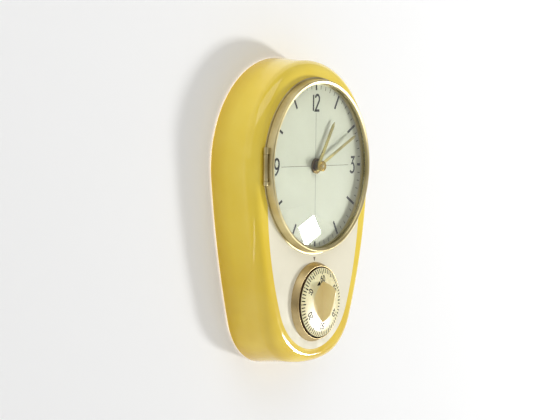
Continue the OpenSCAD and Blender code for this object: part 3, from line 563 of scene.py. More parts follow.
class Look:
    """A material with a Principled shader, kept in LOOKS, and helpers for its nodes."""

    def __init__(self, name, **sockets):
        self.material = bpy.data.materials.new(name)
        LOOKS[name] = self.material
        self.material.use_nodes = True
        self.nodes = self.material.node_tree.nodes
        self.links = self.material.node_tree.links
        self.shader = self.nodes["Principled BSDF"]
        for socket, value in sockets.items():
            self.shader.inputs[socket.replace("_", " ")].default_value = value
        self.place = self.nodes.new("ShaderNodeTexCoord").outputs["Object"]

    def link(self, a, b):
        self.links.new(a, b)

    def node(self, kind, inputs=(), **settings):
        """A new node's outputs; inputs maps its sockets to values or to other nodes' outputs."""
        made = self.nodes.new("ShaderNode" + kind)
        for setting, value in settings.items():
            setattr(made, setting, value)
        for socket, value in dict(inputs).items():
            if isinstance(value, bpy.types.NodeSocket):
                self.link(value, made.inputs[socket])
            else:
                made.inputs[socket].default_value = value
        return made.outputs

    def stretch(self, x, y, z):
        """Object coordinates with each axis scaled."""
        return self.node("Mapping", {"Scale": (x, y, z), "Vector": self.place})["Vector"]

    def noise(self, scale, detail=3.0, roughness=0.5, vector=None):
        """Noise with features of about 1/scale metres."""
        inputs = {"Scale": scale, "Detail": detail, "Roughness": roughness}
        return self.node("TexNoise", {**inputs, "Vector": vector or self.place})["Fac"]

    def spots(self, scale, low, high):
        """Small round spots: 1 in their middles and 0 between them."""
        cells = self.node("TexVoronoi", {"Scale": scale, "Vector": self.place})
        return self.remap(cells["Distance"], low, high, 1.0, 0.0)

    def remap(self, value, low, high, out_low=0.0, out_high=1.0):
        """A value from low to high as one from out_low to out_high, without going past them."""
        inputs = {"Value": value, "From Min": low, "From Max": high}
        return self.node("MapRange", {**inputs, "To Min": out_low, "To Max": out_high})["Result"]

    def axis(self, name, low, high):
        """How far along an axis a point lies, in metres, as 0 to 1."""
        return self.remap(self.node("SeparateXYZ", {0: self.place})[name], low, high)

    def times(self, a, b):
        return self.node("Math", {0: a, 1: b}, operation="MULTIPLY")[0]

    def blend(self, share, one, other):
        """A mix of two colours, each a colour or a socket."""
        return self.node("Mix", {"Factor": share, 6: one, 7: other}, data_type="RGBA")[2]

    def see_through(self, share, tint=(1.0, 1.0, 1.0, 1.0)):
        """Lets a share of the light pass straight through."""
        clear = self.node("BsdfTransparent", {"Color": tint})[0]
        either = self.node("MixShader", {"Fac": share, 1: self.shader.outputs[0], 2: clear})
        self.link(either[0], self.nodes["Material Output"].inputs["Surface"])

    def colour(self, value):
        self.link(value, self.shader.inputs["Base Color"])

    def roughness(self, value, low, high):
        self.link(self.remap(value, 0.3, 0.7, low, high), self.shader.inputs["Roughness"])

    def bump(self, height, millimetres):
        """Bumps of the given depth, laid over any earlier ones."""
        inputs = {"Strength": 1.0, "Distance": millimetres * MM, "Height": height}
        socket = self.shader.inputs["Normal"]
        if socket.is_linked:
            inputs["Normal"] = socket.links[0].from_socket
        self.link(self.node("Bump", inputs)["Normal"], socket)


def glaze(name, base, thin, painted_shade):
    """Fired glaze: paler and deeper in clouds, with painted shade that deepens it low down and towards the
    wall at the rear, and with fine specks.
    """
    look = Look(name, IOR=1.52, Coat_Weight=0.35, Coat_Roughness=0.03)
    cloud = look.noise(14, 4)
    colour = look.blend(look.remap(cloud, 0.35, 0.7), base, thin)
    # Painted shade: the colour deepens in patches low down, and towards the wall at the rear.
    low = look.times(look.axis("Z", -0.12, -0.25), look.remap(look.noise(22, 2), 0.3, 0.6))
    colour = look.blend(look.times(low, 0.6), colour, painted_shade)
    rear = look.axis("Y", -0.016, 0.0)
    colour = look.blend(look.times(rear, 0.5), colour, painted_shade)
    specks = look.times(look.spots(420, 0.02, 0.05), look.remap(look.noise(60), 0.55, 0.6))
    look.colour(look.blend(specks, colour, srgb(146, 106, 40)))
    look.roughness(look.noise(90, 3), 0.05, 0.12)
    look.bump(look.noise(26, 2), 0.22)
    look.bump(look.noise(160, 2), 0.012)
    return look.material


def ivory_glaze():
    """Cream glaze, a little greyer in places, with fine pin-pricks."""
    look = Look("ivory_glaze", IOR=1.52, Coat_Weight=0.3, Coat_Roughness=0.04)
    cloud = look.remap(look.noise(18, 4), 0.35, 0.65)
    colour = look.blend(cloud, srgb(248, 242, 216), srgb(242, 236, 211))
    specks = look.times(look.spots(380, 0.015, 0.04), look.remap(look.noise(50), 0.56, 0.6))
    look.colour(look.blend(specks, colour, srgb(176, 158, 110)))
    look.roughness(look.noise(80, 3), 0.08, 0.16)
    look.bump(look.noise(28, 2), 0.12)
    return look.material


def bare_clay(name, base, dark):
    """Unglazed ceramic, sandy, with smears."""
    look = Look(name, Specular_IOR_Level=0.3)
    colour = look.blend(look.remap(look.noise(35, 5), 0.3, 0.7), base, dark)
    look.colour(look.blend(look.spots(700, 0.03, 0.12), colour, srgb(150, 120, 84)))
    look.roughness(look.noise(120, 4), 0.55, 0.85)
    look.bump(look.noise(900, 3), 0.06)
    look.bump(look.noise(60, 3), 0.2)
    return look.material


def metal(name, base, tarnish, low, high, grain=(1, 1, 1), grain_scale=900, scratch=0.006):
    """Metal with a soft tarnish, a directional grain and hair scratches."""
    look = Look(name, Metallic=1.0)
    grained = look.noise(grain_scale, 2, 0.6, look.stretch(*grain))
    colour = look.blend(look.remap(look.noise(60, 4), 0.4, 0.72), base, tarnish)
    look.colour(look.blend(look.times(look.remap(grained, 0.55, 0.8), 0.25), colour, tarnish))
    look.roughness(grained, low, high)
    look.bump(grained, scratch)
    return look.material


def lathe_metal(name, base, tarnish, low, high, centre_z):
    """Metal with fine turning marks round an axis along Y at height centre_z."""
    look = Look(name, Metallic=1.0, Anisotropic=0.45)
    split = look.node("SeparateXYZ", {0: look.place})
    up = look.node("Math", {0: split["Z"], 1: centre_z * MM}, operation="SUBTRACT")[0]
    flat = look.node("CombineXYZ", {"X": split["X"], "Z": up})[0]
    far = look.node("VectorMath", {0: flat}, operation="LENGTH")["Value"]
    marks = look.node("CombineXYZ", {"X": far, "Y": split["Y"]})[0]
    grooves = look.noise(1800, 2, 0.7, marks)
    look.colour(look.blend(look.remap(look.noise(45, 4), 0.35, 0.7), base, tarnish))
    look.roughness(grooves, low, high)
    look.bump(grooves, 0.008)
    return look.material


def plastic(name, base, other, low=0.3, high=0.45, grain=0.01, scatter=0.0):
    """Moulded plastic with a faint mottle and a fine grain."""
    look = Look(name, IOR=1.49)
    if scatter:
        look.shader.inputs["Subsurface Weight"].default_value = scatter
        look.shader.inputs["Subsurface Radius"].default_value = (0.004, 0.003, 0.0015)
    look.colour(look.blend(look.remap(look.noise(70, 4), 0.35, 0.7), base, other))
    look.roughness(look.noise(200, 3), low, high)
    look.bump(look.noise(1500, 2), grain)
    return look.material


def dial_paint():
    """Matt enamel of the dial: pale grey-green, with painted shade that darkens and yellows it towards its
    rim, under the bezel.
    """
    look = Look("dial_paint", IOR=1.45)
    middle = (0, DIAL_Y * MM, DIAL_Z * MM)
    far = look.node("VectorMath", {0: look.place, 1: middle}, operation="DISTANCE")["Value"]
    # Painted shade: towards the rim, under the bezel, the colour turns darker and yellower.
    rim = look.remap(far, 0.045, 0.072)
    cloud = look.remap(look.noise(30, 5), 0.35, 0.7)
    colour = look.blend(cloud, srgb(192, 194, 171), srgb(187, 189, 165))
    look.colour(look.blend(look.times(rim, 0.45), colour, srgb(184, 182, 151)))
    look.roughness(look.noise(300, 3), 0.38, 0.55)
    look.bump(look.noise(2200, 2), 0.006)
    return look.material


def ink(name, base):
    """Printed enamel, slightly uneven."""
    look = Look(name, IOR=1.45, Specular_IOR_Level=0.12)
    lighter = tuple(min(1.0, c * 1.6 + 0.01) for c in base[:3]) + (1.0,)
    look.colour(look.blend(look.remap(look.noise(500, 3), 0.4, 0.75), base, lighter))
    look.roughness(look.noise(600, 2), 0.4, 0.6)
    return look.material


def glass():
    """Clear domed glass with a trace of green; light passes it without a dark shadow."""
    tint = (0.985, 1.0, 0.985, 1.0)
    look = Look("clear_glass", Roughness=0.0, IOR=1.5, Transmission_Weight=1.0, Base_Color=tint)
    look.bump(look.noise(30, 2), 0.004)
    look.see_through(look.node("LightPath")["Is Shadow Ray"], (0.97, 0.98, 0.97, 1.0))
    return look.material


def winding():
    """Enamelled copper wire, turn beside turn."""
    look = Look("copper_winding", Metallic=0.8)
    turns = look.noise(60, 0, 0.5, look.stretch(1, 60, 1))
    look.colour(look.blend(look.remap(turns, 0.4, 0.6), srgb(196, 110, 62), srgb(128, 62, 34)))
    look.roughness(turns, 0.25, 0.4)
    look.bump(turns, 0.05)
    return look.material


def hard_paper(name, base, other):
    """Resin-bonded paper or fibre with a faint weave."""
    look = Look(name, IOR=1.5)
    weave = look.noise(1200, 2, 0.6, look.stretch(1, 1, 0.2))
    look.colour(look.blend(look.remap(weave, 0.35, 0.65), base, other))
    look.roughness(weave, 0.45, 0.65)
    look.bump(weave, 0.01)
    return look.material


def cell_sleeve():
    """Printed sleeve of a baby cell in plain colours: a pale band at one end."""
    look = Look("cell_sleeve", IOR=1.5, Coat_Weight=0.4, Coat_Roughness=0.1)
    band = look.axis("X", 0.0120, 0.0123)
    colour = look.blend(band, srgb(38, 78, 128), srgb(206, 176, 92))
    wear = look.times(look.remap(look.noise(160, 4), 0.55, 0.75), 0.3)
    look.colour(look.blend(wear, colour, srgb(190, 190, 190)))
    look.roughness(look.noise(150, 3), 0.22, 0.4)
    look.bump(look.noise(400, 2), 0.01)
    return look.material


# The glaze's last colour is painted shade, used low down and towards the wall at the rear.
YELLOW = glaze("yellow_glaze", srgb(242, 210, 58), srgb(250, 224, 92), srgb(208, 162, 22))
IVORY = ivory_glaze()
FOOT = bare_clay("bare_foot", srgb(226, 212, 184), srgb(198, 178, 144))
INSIDE = bare_clay("bare_inside", srgb(232, 222, 198), srgb(214, 200, 168))
CHAMPAGNE = lathe_metal("champagne_brass", srgb(220, 206, 158), srgb(190, 174, 124), 0.3, 0.44, DIAL_Z)
RING_BRASS = lathe_metal("satin_brass", srgb(208, 187, 138), srgb(178, 154, 106), 0.3, 0.46, TIMER_Z)
POLISHED = metal("polished_brass", srgb(206, 176, 96), srgb(166, 134, 62), 0.12, 0.24, (1, 1, 1), 700, 0.004)
HAND_BRASS = metal("hand_brass", srgb(176, 164, 104), srgb(128, 116, 62), 0.24, 0.38, (6, 1, 6), 500, 0.006)
DARK_BRASS = metal("dark_brass", srgb(132, 110, 62), srgb(86, 66, 32), 0.2, 0.36)
# Painted shade: dark brown on the timer ring's inside and the timer dial's skirt, where the gap between them
# lies in shade.
PAINTED_GAP_SHADE = plastic("painted_gap_shade", srgb(84, 58, 28), srgb(58, 38, 18), 0.3, 0.5)
CREAM = plastic("cream_plastic", srgb(244, 236, 188), srgb(240, 228, 174), 0.22, 0.34, 0.006, 0.12)
TAN = plastic("tan_plastic", srgb(248, 226, 160), srgb(240, 215, 144), 0.3, 0.42, 0.008, 0.1)
INK = ink("black_ink", srgb(20, 17, 13))
GREY_INK = ink("grey_ink", srgb(88, 85, 72))
GLASS = glass()

# Looks of the inner pieces, which only their slots name
metal("plate_brass", srgb(205, 172, 104), srgb(158, 122, 62), 0.2, 0.42, (1, 1, 14), 260, 0.01)
metal("steel", srgb(196, 196, 194), srgb(146, 142, 136), 0.18, 0.34)
metal("blued_steel", srgb(58, 74, 110), srgb(40, 44, 58), 0.2, 0.35)
metal("nickel", srgb(208, 204, 192), srgb(172, 164, 148), 0.16, 0.36, (1, 1, 12), 260, 0.008)
metal("magnet", srgb(92, 92, 96), srgb(58, 56, 56), 0.3, 0.5)
plastic("white_plastic", srgb(226, 224, 214), srgb(214, 210, 196))
plastic("black_plastic", srgb(34, 33, 32), srgb(26, 25, 24), 0.32, 0.5, 0.015)
hard_paper("board", srgb(150, 98, 46), srgb(128, 80, 36))
hard_paper("fibre", srgb(126, 52, 34), srgb(104, 40, 26))
dial_paint()
winding()
cell_sleeve()

# Every CAD node gets the look of its slot; some are then replaced by finer pieces
for part in frame["record"]["subparts"]:
    node = frame["nodes"][part["node"]]
    node.data.materials.clear()
    node.data.materials.append(LOOKS[part["material_slot"]])

# ---- Ceramic body ----

shell_points, shell_faces, shell_kinds = ceramic_mesh()
shell = add_mesh(
    "glazed_body", shell_points, shell_faces, "case", [YELLOW, IVORY, FOOT, INSIDE],
    slot="yellow_glaze", replaces=["ceramic_body"], angle=50, face_slots=shell_kinds,
)
# Large flat faces stay flat where they meet a rounded edge
shell.modifiers.new("flat faces", "WEIGHTED_NORMAL").keep_sharp = True
keyhole_web("case", INSIDE)

# ---- Dial ----

MARK_OUT, MARK_WIDTH = 68.6, 2.2
HOUR_MARK_IN, QUARTER_MARK_IN = 55.9, 64.2
MINUTE_MARK_IN, MINUTE_MARK_WIDTH = 65.2, 0.85
NUMERAL_REACH = {3: 56.5, 6: 53.5, 9: 56.5, 12: 53.5}
NUMERAL_HEIGHT, NUMERAL_STROKE, NUMERAL_SQUEEZE = 13.6, 2.05, 0.92
CROSS_REACH = {0: 45.0, 90: 50.0, 180: 45.0, 270: 50.0}
CROSS_IN, CROSS_WIDTH = 7.5, 0.42
COLLAR_BORE, COLLAR_R = 4.2, 6.6


def on_dial(*_place):
    """The dial is flat, so every place on it has the same y."""
    return DIAL_Y


dark_marks, faint_marks = [], []
for hour in range(12):
    inner = HOUR_MARK_IN if hour % 3 else QUARTER_MARK_IN
    dark_marks.append(tick(hour * 30, inner, MARK_OUT, MARK_WIDTH))
for minute in range(60):
    if minute % 5:
        faint_marks.append(tick(minute * 6, MINUTE_MARK_IN, MARK_OUT, MINUTE_MARK_WIDTH))
for hour, reach in NUMERAL_REACH.items():
    a = math.radians(hour * 30)
    place = (reach * math.sin(a), reach * math.cos(a))
    dark_marks += number(str(hour), place, NUMERAL_HEIGHT, NUMERAL_STROKE, squeeze=NUMERAL_SQUEEZE)
for angle, reach in CROSS_REACH.items():
    faint_marks.append(tick(angle, CROSS_IN, reach, CROSS_WIDTH))
printed("dial_numerals", dark_marks, DIAL_Z, on_dial, "case", INK)
printed("dial_minute_marks", faint_marks, DIAL_Z, on_dial, "case", GREY_INK, thick=0.02)

# The collar is a darker copy of the polished brass.
turned(
    "dial_collar",
    rounded([
        (COLLAR_BORE, DIAL_Y, 0), (COLLAR_R, DIAL_Y, 0.2),
        (COLLAR_R, COLLAR_Y, 0.4), (COLLAR_BORE, COLLAR_Y, 0.2),
    ]),
    DIAL_Z, "case", DARK_BRASS, segments=96, slot="polished_brass", replaces=["dial_nut"],
)

# ---- Bezel and glass ----

BEZEL_IN = BEZEL_R - 1.4
BEZEL_FOOT_Y = FRONT_Y - 0.85
LIP_Y = BEZEL_Y - 1.8
turned(
    "bezel_rim",
    rounded([
        (BEZEL_IN, BEZEL_FOOT_Y, 0.15), (BEZEL_R + 0.7, BEZEL_FOOT_Y, 0.2),
        (BEZEL_R + 0.5, BEZEL_FOOT_Y - 0.95, 0.4), (BEZEL_R - 0.2, LIP_Y + 0.7, 1.2),
        (BEZEL_R - 1.2, LIP_Y, 0.8), (DIAL_R + 0.9, LIP_Y + 0.5, 0.35),
        (DIAL_R + 0.1, LIP_Y + 1.3, 0.2), (DIAL_R + 0.1, BEZEL_Y + 1.4, 0.1),
        (BEZEL_IN - 0.6, BEZEL_Y + 1.8, 0.1), (BEZEL_IN, BEZEL_Y + 2.4, 0.1),
    ]),
    DIAL_Z, "bezel", CHAMPAGNE, segments=320, slot="champagne_brass", replaces=["bezel_ring"], angle=40,
)

# A thin flange on the ceramic that the closed bezel lies on
SEAT_IN, SEAT_OUT = BEZEL_R - 0.6, BEZEL_R + 2.1
SEAT_LOW_Y, SEAT_TOP_Y = FRONT_Y - 0.02, FRONT_Y - 0.72
turned(
    "bezel_seat",
    rounded([
        (SEAT_IN, SEAT_LOW_Y, 0), (SEAT_OUT, SEAT_LOW_Y, 0.1),
        (SEAT_OUT - 0.1, SEAT_TOP_Y, 0.6), (SEAT_IN, SEAT_TOP_Y, 0.1),
    ]),
    DIAL_Z, "case", CHAMPAGNE, segments=320, slot="champagne_brass",
)

HINGE_X = (pin_low.x + pin_high.x) / 2
HINGE_Y = (pin_low.y + pin_high.y) / 2
KNUCKLE_R, KNUCKLE_BORE = 1.9, 0.92
STRAP_INNER_T, STRAP_OUTER_T = 1.3, 1.0
MIDDLE_KNUCKLE_HALF, KNUCKLE_GAP = 10.9, 0.25
UPPER_KNUCKLE, LOWER_KNUCKLE = 5.6, 3.6


def knuckle(low, high):
    """A rolled knuckle on the hinge's axis, with the strap that joins it to the bezel."""
    section = rounded([
        (KNUCKLE_BORE, low, 0.1), (KNUCKLE_R, low, 0.35),
        (KNUCKLE_R, high, 0.35), (KNUCKLE_BORE, high, 0.1),
    ])
    tube, tube_faces = revolve(section, 0.0, segments=48)
    tube = [(HINGE_X + x, HINGE_Y + z, y) for x, y, z in tube]
    half = (low + high) / 2 - DIAL_Z
    inner = -math.sqrt((BEZEL_R - 0.5) ** 2 - half ** 2)
    front = HINGE_Y - KNUCKLE_R
    strap_section = (
        (HINGE_X, front + 0.05), (inner, front + 0.05),
        (inner, front + STRAP_INNER_T), (HINGE_X, front + STRAP_OUTER_T),
    )
    strap = [(x, y, z) for z in (low + 0.1, high - 0.1) for x, y in strap_section]
    sides = [[i, (i + 1) % 4, 4 + (i + 1) % 4, 4 + i] for i in range(4)]
    return merge((tube, tube_faces), (strap, [[0, 1, 2, 3], [4, 5, 6, 7]] + sides))


KNUCKLE_START = MIDDLE_KNUCKLE_HALF + KNUCKLE_GAP
upper_low, lower_high = DIAL_Z + KNUCKLE_START, DIAL_Z - KNUCKLE_START
knuckle_points, knuckle_faces = merge(
    knuckle(upper_low, upper_low + UPPER_KNUCKLE), knuckle(lower_high - LOWER_KNUCKLE, lower_high)
)
add_mesh("bezel_knuckles", knuckle_points, knuckle_faces, "bezel", CHAMPAGNE, slot="champagne_brass")

TAB_IN, TAB_OUT, TAB_ROUND = BEZEL_R - 0.6, BEZEL_R + 2.8, 2.2
TAB_ROOT_HALF, TAB_HALF = 4.0, 3.2
TAB_FRONT_Y, TAB_T = BEZEL_Y + 1.4, 2.0
tab_points, tab_faces = slab(
    rounded([
        (TAB_IN, DIAL_Z - TAB_ROOT_HALF, 0), (TAB_OUT, DIAL_Z - TAB_HALF, TAB_ROUND),
        (TAB_OUT, DIAL_Z + TAB_HALF, TAB_ROUND), (TAB_IN, DIAL_Z + TAB_ROOT_HALF, 0),
    ]), TAB_FRONT_Y + TAB_T, TAB_FRONT_Y,
)
tab = add_mesh(
    "finger_tab", tab_points, tab_faces, "bezel", POLISHED, slot="polished_brass", replaces=["catch_tab"]
)
bevel(tab, 0.4, 2)

GLASS_T = 1.8
GLASS_EDGE = glass_high.y - GLASS_T
GLASS_RISE = GLASS_EDGE - glass_low.y
SPHERE_R = (GLASS_R ** 2 + GLASS_RISE ** 2) / (2 * GLASS_RISE)


def glass_front(radius):
    """Y of the domed glass's front at a radius."""
    return GLASS_EDGE - (math.sqrt(SPHERE_R ** 2 - radius ** 2) - (SPHERE_R - GLASS_RISE))


outer_skin = [(GLASS_R * i / 40, glass_front(GLASS_R * i / 40)) for i in range(41)]
inner_skin = [(r, y + GLASS_T) for r, y in outer_skin]
ground_edge = [(GLASS_R - 0.02, 0.0), (GLASS_R, GLASS_T / 2), (GLASS_R - 0.02, GLASS_T)]
ground_edge = [(r, GLASS_EDGE + depth) for r, depth in ground_edge]
lens_section = outer_skin[:-1] + ground_edge + inner_skin[-2::-1]
turned(
    "domed_glass", lens_section, DIAL_Z, "bezel", GLASS, closed=False, segments=256,
    slot="clear_glass", replaces=["glass_lens"], angle=60,
)

# ---- Hands ----

HAND_T, HAND_TIP = 0.6, 4.0


def hand(name, node, angle, length, wide, narrow, boss_r, bore, back_y, body):
    """A flat baton with a pointed tip and a bored boss; angle is clockwise from the top."""
    turn = math.radians(angle)
    side = math.degrees(math.asin(wide / 2 / boss_r))
    outline = bow(0, 0, boss_r, boss_r, 90 - side, side - 270, 32)
    outline += [(-narrow / 2, length - HAND_TIP), (0.0, length), (narrow / 2, length - HAND_TIP)]
    inner = bow(0, 0, bore, bore, 0, 360, 36)[:-1]
    work = bmesh.new()
    loops = []
    for ring_points in (outline, inner):
        verts = [work.verts.new((x, z, 0)) for x, z in ring_points]
        loops += [work.edges.new((verts[i], verts[(i + 1) % len(verts)])) for i in range(len(verts))]
    bmesh.ops.triangle_fill(work, use_beauty=True, use_dissolve=False, edges=loops)
    grown = bmesh.ops.extrude_face_region(work, geom=work.faces[:])
    for v in grown["geom"]:
        if isinstance(v, bmesh.types.BMVert):
            v.co.z = HAND_T
    points = []
    work.verts.index_update()
    for v in work.verts:
        x = v.co.x * math.cos(turn) + v.co.y * math.sin(turn)
        z = -v.co.x * math.sin(turn) + v.co.y * math.cos(turn)
        points.append((x, back_y - v.co.z, DIAL_Z + z))
    faces = [[v.index for v in f.verts] for f in work.faces]
    work.free()
    piece = add_mesh(name, points, faces, body, HAND_BRASS, slot="polished_brass", replaces=[node])
    bevel(piece, 0.16, 2)


hand("hour_baton", "hour_hand", 33, 44.5, 3.8, 3.4, 4.4, 2.5, HOUR_BACK_Y, "hour_pipe")
hand("minute_baton", "minute_hand", 65, 60.5, 2.8, 2.4, 3.6, 1.7, MINUTE_BACK_Y, "minute_arbor")

NUT_R, NUT_BORE = nut_high.x, 0.95
turned(
    "hand_cap",
    rounded([
        (NUT_BORE, nut_high.y, 0), (NUT_R, nut_high.y, 0.2), (NUT_R, nut_low.y + 0.6, 0.4),
        (NUT_R - 0.6, nut_low.y, 0.3), (NUT_BORE + 0.45, nut_low.y, 0.15), (NUT_BORE, nut_low.y + 0.3, 0),
    ]),
    DIAL_Z, "minute_arbor", POLISHED, segments=96, slot="polished_brass", replaces=["hand_nut"],
)

# ---- Timer ----

RING_IN = RING_R - 3.3
RING_TOP_Y = ring_low.y
FLOOR_Y = FRONT_Y - 1.0
FLOOR_BORE = 6.0
ring_points, ring_faces = revolve(
    rounded([
        (RING_R, FRONT_Y - 0.02, 0), (RING_R - 0.2, FRONT_Y - 0.9, 0.3),
        (RING_IN + 0.6, RING_TOP_Y + 0.1, 0.5), (RING_IN + 0.05, RING_TOP_Y + 0.25, 0.1),
        (RING_IN, RING_TOP_Y + 1.0, 0.1), (RING_IN, FLOOR_Y, 0), (FLOOR_BORE + 4.0, FLOOR_Y, 0),
        (FLOOR_BORE, FLOOR_Y + 0.02, 0), (FLOOR_BORE, FRONT_Y - 0.02, 0),
    ]),
    TIMER_Z,
)


def mean_radius(face):
    """How far a face of the timer's ring lies from the timer's axis."""
    return sum(math.hypot(ring_points[i][0], ring_points[i][2] - TIMER_Z) for i in face) / len(face)


# The ring's inside is painted dark brown as shade in the gap round the timer dial.
add_mesh(
    "timer_surround", ring_points, ring_faces, "case", [RING_BRASS, PAINTED_GAP_SHADE], slot="satin_brass",
    replaces=["timer_ring"], angle=40,
    face_slots=[int(mean_radius(face) < RING_IN + 0.04) for face in ring_faces],
)

KNOB_EDGE = KNOB_TOP_Y + 5.0
KNOB_IN, KNOB_BACK_Y = KNOB_R - 1.6, KNOB_EDGE + 3.4
KNOB_T = 1.8
HUB_R, HUB_BORE = 5.0, 2.5
CROWN_RISE, EDGE_ROLL = 1.8, 1.1


def crown(radius):
    """The timer dial's surface: nearly flat, and rolled over at its edge."""
    share = radius / KNOB_R
    return KNOB_EDGE - CROWN_RISE * (1 - share ** 2) - EDGE_ROLL * (1 - share ** 8)


skin = [(KNOB_R * i / 30, crown(KNOB_R * i / 30)) for i in range(30)]
skirt = rounded([
    (KNOB_R - 0.5, KNOB_EDGE - 0.15, 0), (KNOB_R, KNOB_EDGE + 0.05, 0.3), (KNOB_R, KNOB_BACK_Y, 0.3),
    (KNOB_IN, KNOB_BACK_Y, 0.3), (KNOB_IN, KNOB_EDGE + 1.2, 0),
], closed=False)
hub = [(HUB_R, crown(HUB_R) + KNOB_T), (HUB_R, KNOB_BACK_Y - 0.1), (HUB_BORE, KNOB_BACK_Y)]
knob_points, knob_faces = revolve(skin + skirt + hub, TIMER_Z, closed=False, segments=200)


def below_edge(face):
    """True for a face of the timer's dial behind its visible edge."""
    return min(knob_points[i][1] for i in face) > KNOB_EDGE - 0.1


# The dial's skirt behind its edge is painted dark brown as shade in the gap inside the ring.
add_mesh(
    "timer_dome", knob_points, knob_faces, "timer_knob", [CREAM, PAINTED_GAP_SHADE], slot="cream_plastic",
    replaces=["timer_dial"], angle=40, face_slots=[int(below_edge(face)) for face in knob_faces],
)


def knob_height(x, z):
    """Y of the timer dial's surface at a place beside its axis."""
    return crown(min(math.hypot(x, z), KNOB_R))


SCALE_OUT = 28.9
FIVE_IN, FIVE_WIDTH = 24.0, 1.05
SINGLE_IN, SINGLE_WIDTH = 25.2, 0.9
FIGURE_R, FIGURE_HEIGHT, FIGURE_STROKE, FIGURE_GAP = 20.4, 4.8, 0.95, 0.22
ARROW_R, ARROW_WIDTH = 17.2, 0.5
ARROW_START, HEAD_START, HEAD_END = 74, 104, 119
HEAD_WIDTH, HEAD_TIP, HEAD_STEPS = 3.2, 0.4, 6

timer_parts = []
for minute in range(60):
    inner, width = (SINGLE_IN, SINGLE_WIDTH) if minute % 5 else (FIVE_IN, FIVE_WIDTH)
    timer_parts.append(tick(minute * 6, inner, SCALE_OUT, width))
# The figures run counter-clockwise, so that the time left stands at the pointer
for minute in range(0, 60, 10):
    turn = minute * 6
    a = math.radians(turn)
    place = (-FIGURE_R * math.sin(a), FIGURE_R * math.cos(a))
    timer_parts += number(
        str(minute or 60), place, FIGURE_HEIGHT, FIGURE_STROKE, turn=turn, gap=FIGURE_GAP
    )
timer_parts.append(stroke(bow(0, 0, ARROW_R, ARROW_R, ARROW_START, HEAD_START, 12), ARROW_WIDTH))
head = bow(0, 0, ARROW_R, ARROW_R, HEAD_START, HEAD_END, HEAD_STEPS)
for i, (one, other) in enumerate(zip(head, head[1:])):
    timer_parts.append(stroke([one, other], HEAD_WIDTH * (1 - i / HEAD_STEPS) + HEAD_TIP))
printed("timer_marks", timer_parts, TIMER_Z, knob_height, "timer_knob", INK)

# The grip, with heights above the timer's axis along Z
GRIP_LOW, GRIP_HIGH, GRIP_WAIST = -17.0, 18.0, 1.0
GRIP_STATIONS = 40
GRIP_HALF, ROOT_HALF, FIN_HALF = 13.8, 3.4, 0.9
SADDLE_RISE = 1.7
FIN_TOP_Z, FIN_TAIL_Z = 9.5, -8.0
FIN_SLANT = 0.42  # share of its height that the fin loses between those two


def fin_share(z):
    """The fin's height at z: full at its top, a slant to the tail, rounded off at both ends."""
    if z > FIN_TOP_Z:
        return max(0.0, 1 - ((z - FIN_TOP_Z) / (GRIP_HIGH - FIN_TOP_Z)) ** 2.4)
    if z > FIN_TAIL_Z:
        return 1 - FIN_SLANT * (FIN_TOP_Z - z) / (FIN_TOP_Z - FIN_TAIL_Z)
    return (1 - FIN_SLANT) * max(0.0, 1 - ((FIN_TAIL_Z - z) / (FIN_TAIL_Z - GRIP_LOW)) ** 1.8)


def grip_section(z):
    """Right half of the grip's section at z, from its edge up to the crest, as (x, y)."""
    end = GRIP_HIGH if z > GRIP_WAIST else GRIP_LOW
    share = (z - GRIP_WAIST) / (end - GRIP_WAIST)
    half = max(GRIP_HALF * (1 - share ** 1.9), 0.12)
    root = max(ROOT_HALF * (1 - share ** 2.2), 0.08)
    thin = FIN_HALF * (1 - share ** 4) + 0.05
    saddle = knob_height(min(root, 1.0), z) - SADDLE_RISE * (1 - share ** 2)
    crest = min(saddle, saddle + (CREST_Y - (crown(0) - SADDLE_RISE)) * fin_share(z))
    section = [(half, knob_height(half, z) + 0.3), (half, knob_height(half, z) - 0.02)]
    for k in range(1, 6):
        t = k / 6
        x = half + (root - half) * t
        base = knob_height(x, z) - 0.02
        section.append((x, base + (saddle - base) * t ** 1.25))
    section += [(root, saddle), (root * 0.9, saddle + (crest - saddle) * 0.06)]
    for k in range(1, 5):
        t = k / 5
        x = root * 0.9 + (thin - root * 0.9) * t ** 0.8
        section.append((x, saddle + (crest - saddle) * (0.06 + 0.9 * t)))
    section.append((thin * 0.5, crest))
    return section


def grip_mesh():
    """A leaf-shaped saddle on the dome that rises to a tall thin fin."""
    points, faces, rows = [], [], []
    for i in range(GRIP_STATIONS + 1):
        z = GRIP_LOW + (GRIP_HIGH - GRIP_LOW) * i / GRIP_STATIONS
        section = grip_section(z)
        row = []
        for x, y in section + [(-x, y) for x, y in section[::-1]]:
            row.append(len(points))
            points.append((x, min(max(y, CREST_Y), KNOB_EDGE + 1.0), TIMER_Z + z))
        rows.append(row)
    for one, other in zip(rows, rows[1:]):
        for k in range(len(one)):
            j = (k + 1) % len(one)
            faces.append([one[k], one[j], other[j], other[k]])
    faces += [rows[0], rows[-1]]
    return points, faces


grip_points, grip_faces = grip_mesh()
add_mesh(
    "timer_fin", grip_points, grip_faces, "timer_knob", TAN, slot="tan_plastic",
    replaces=["timer_grip"], angle=32,
)

# Pointer on the ivory front, above the timer
POINTER_TOP, POINTER_LOW, POINTER_HALF = DIAL_Z - 77.8, DIAL_Z - 81.6, 1.5
flag_points, flag_faces = slab(
    [(-POINTER_HALF, POINTER_TOP), (POINTER_HALF, POINTER_TOP), (0.0, POINTER_LOW)],
    FRONT_Y + 0.02, FRONT_Y - 0.04,
)
add_mesh("timer_pointer", flag_points, flag_faces, "case", ink("pointer_ink", srgb(92, 78, 54)))

# ---- Stage, light and camera ----


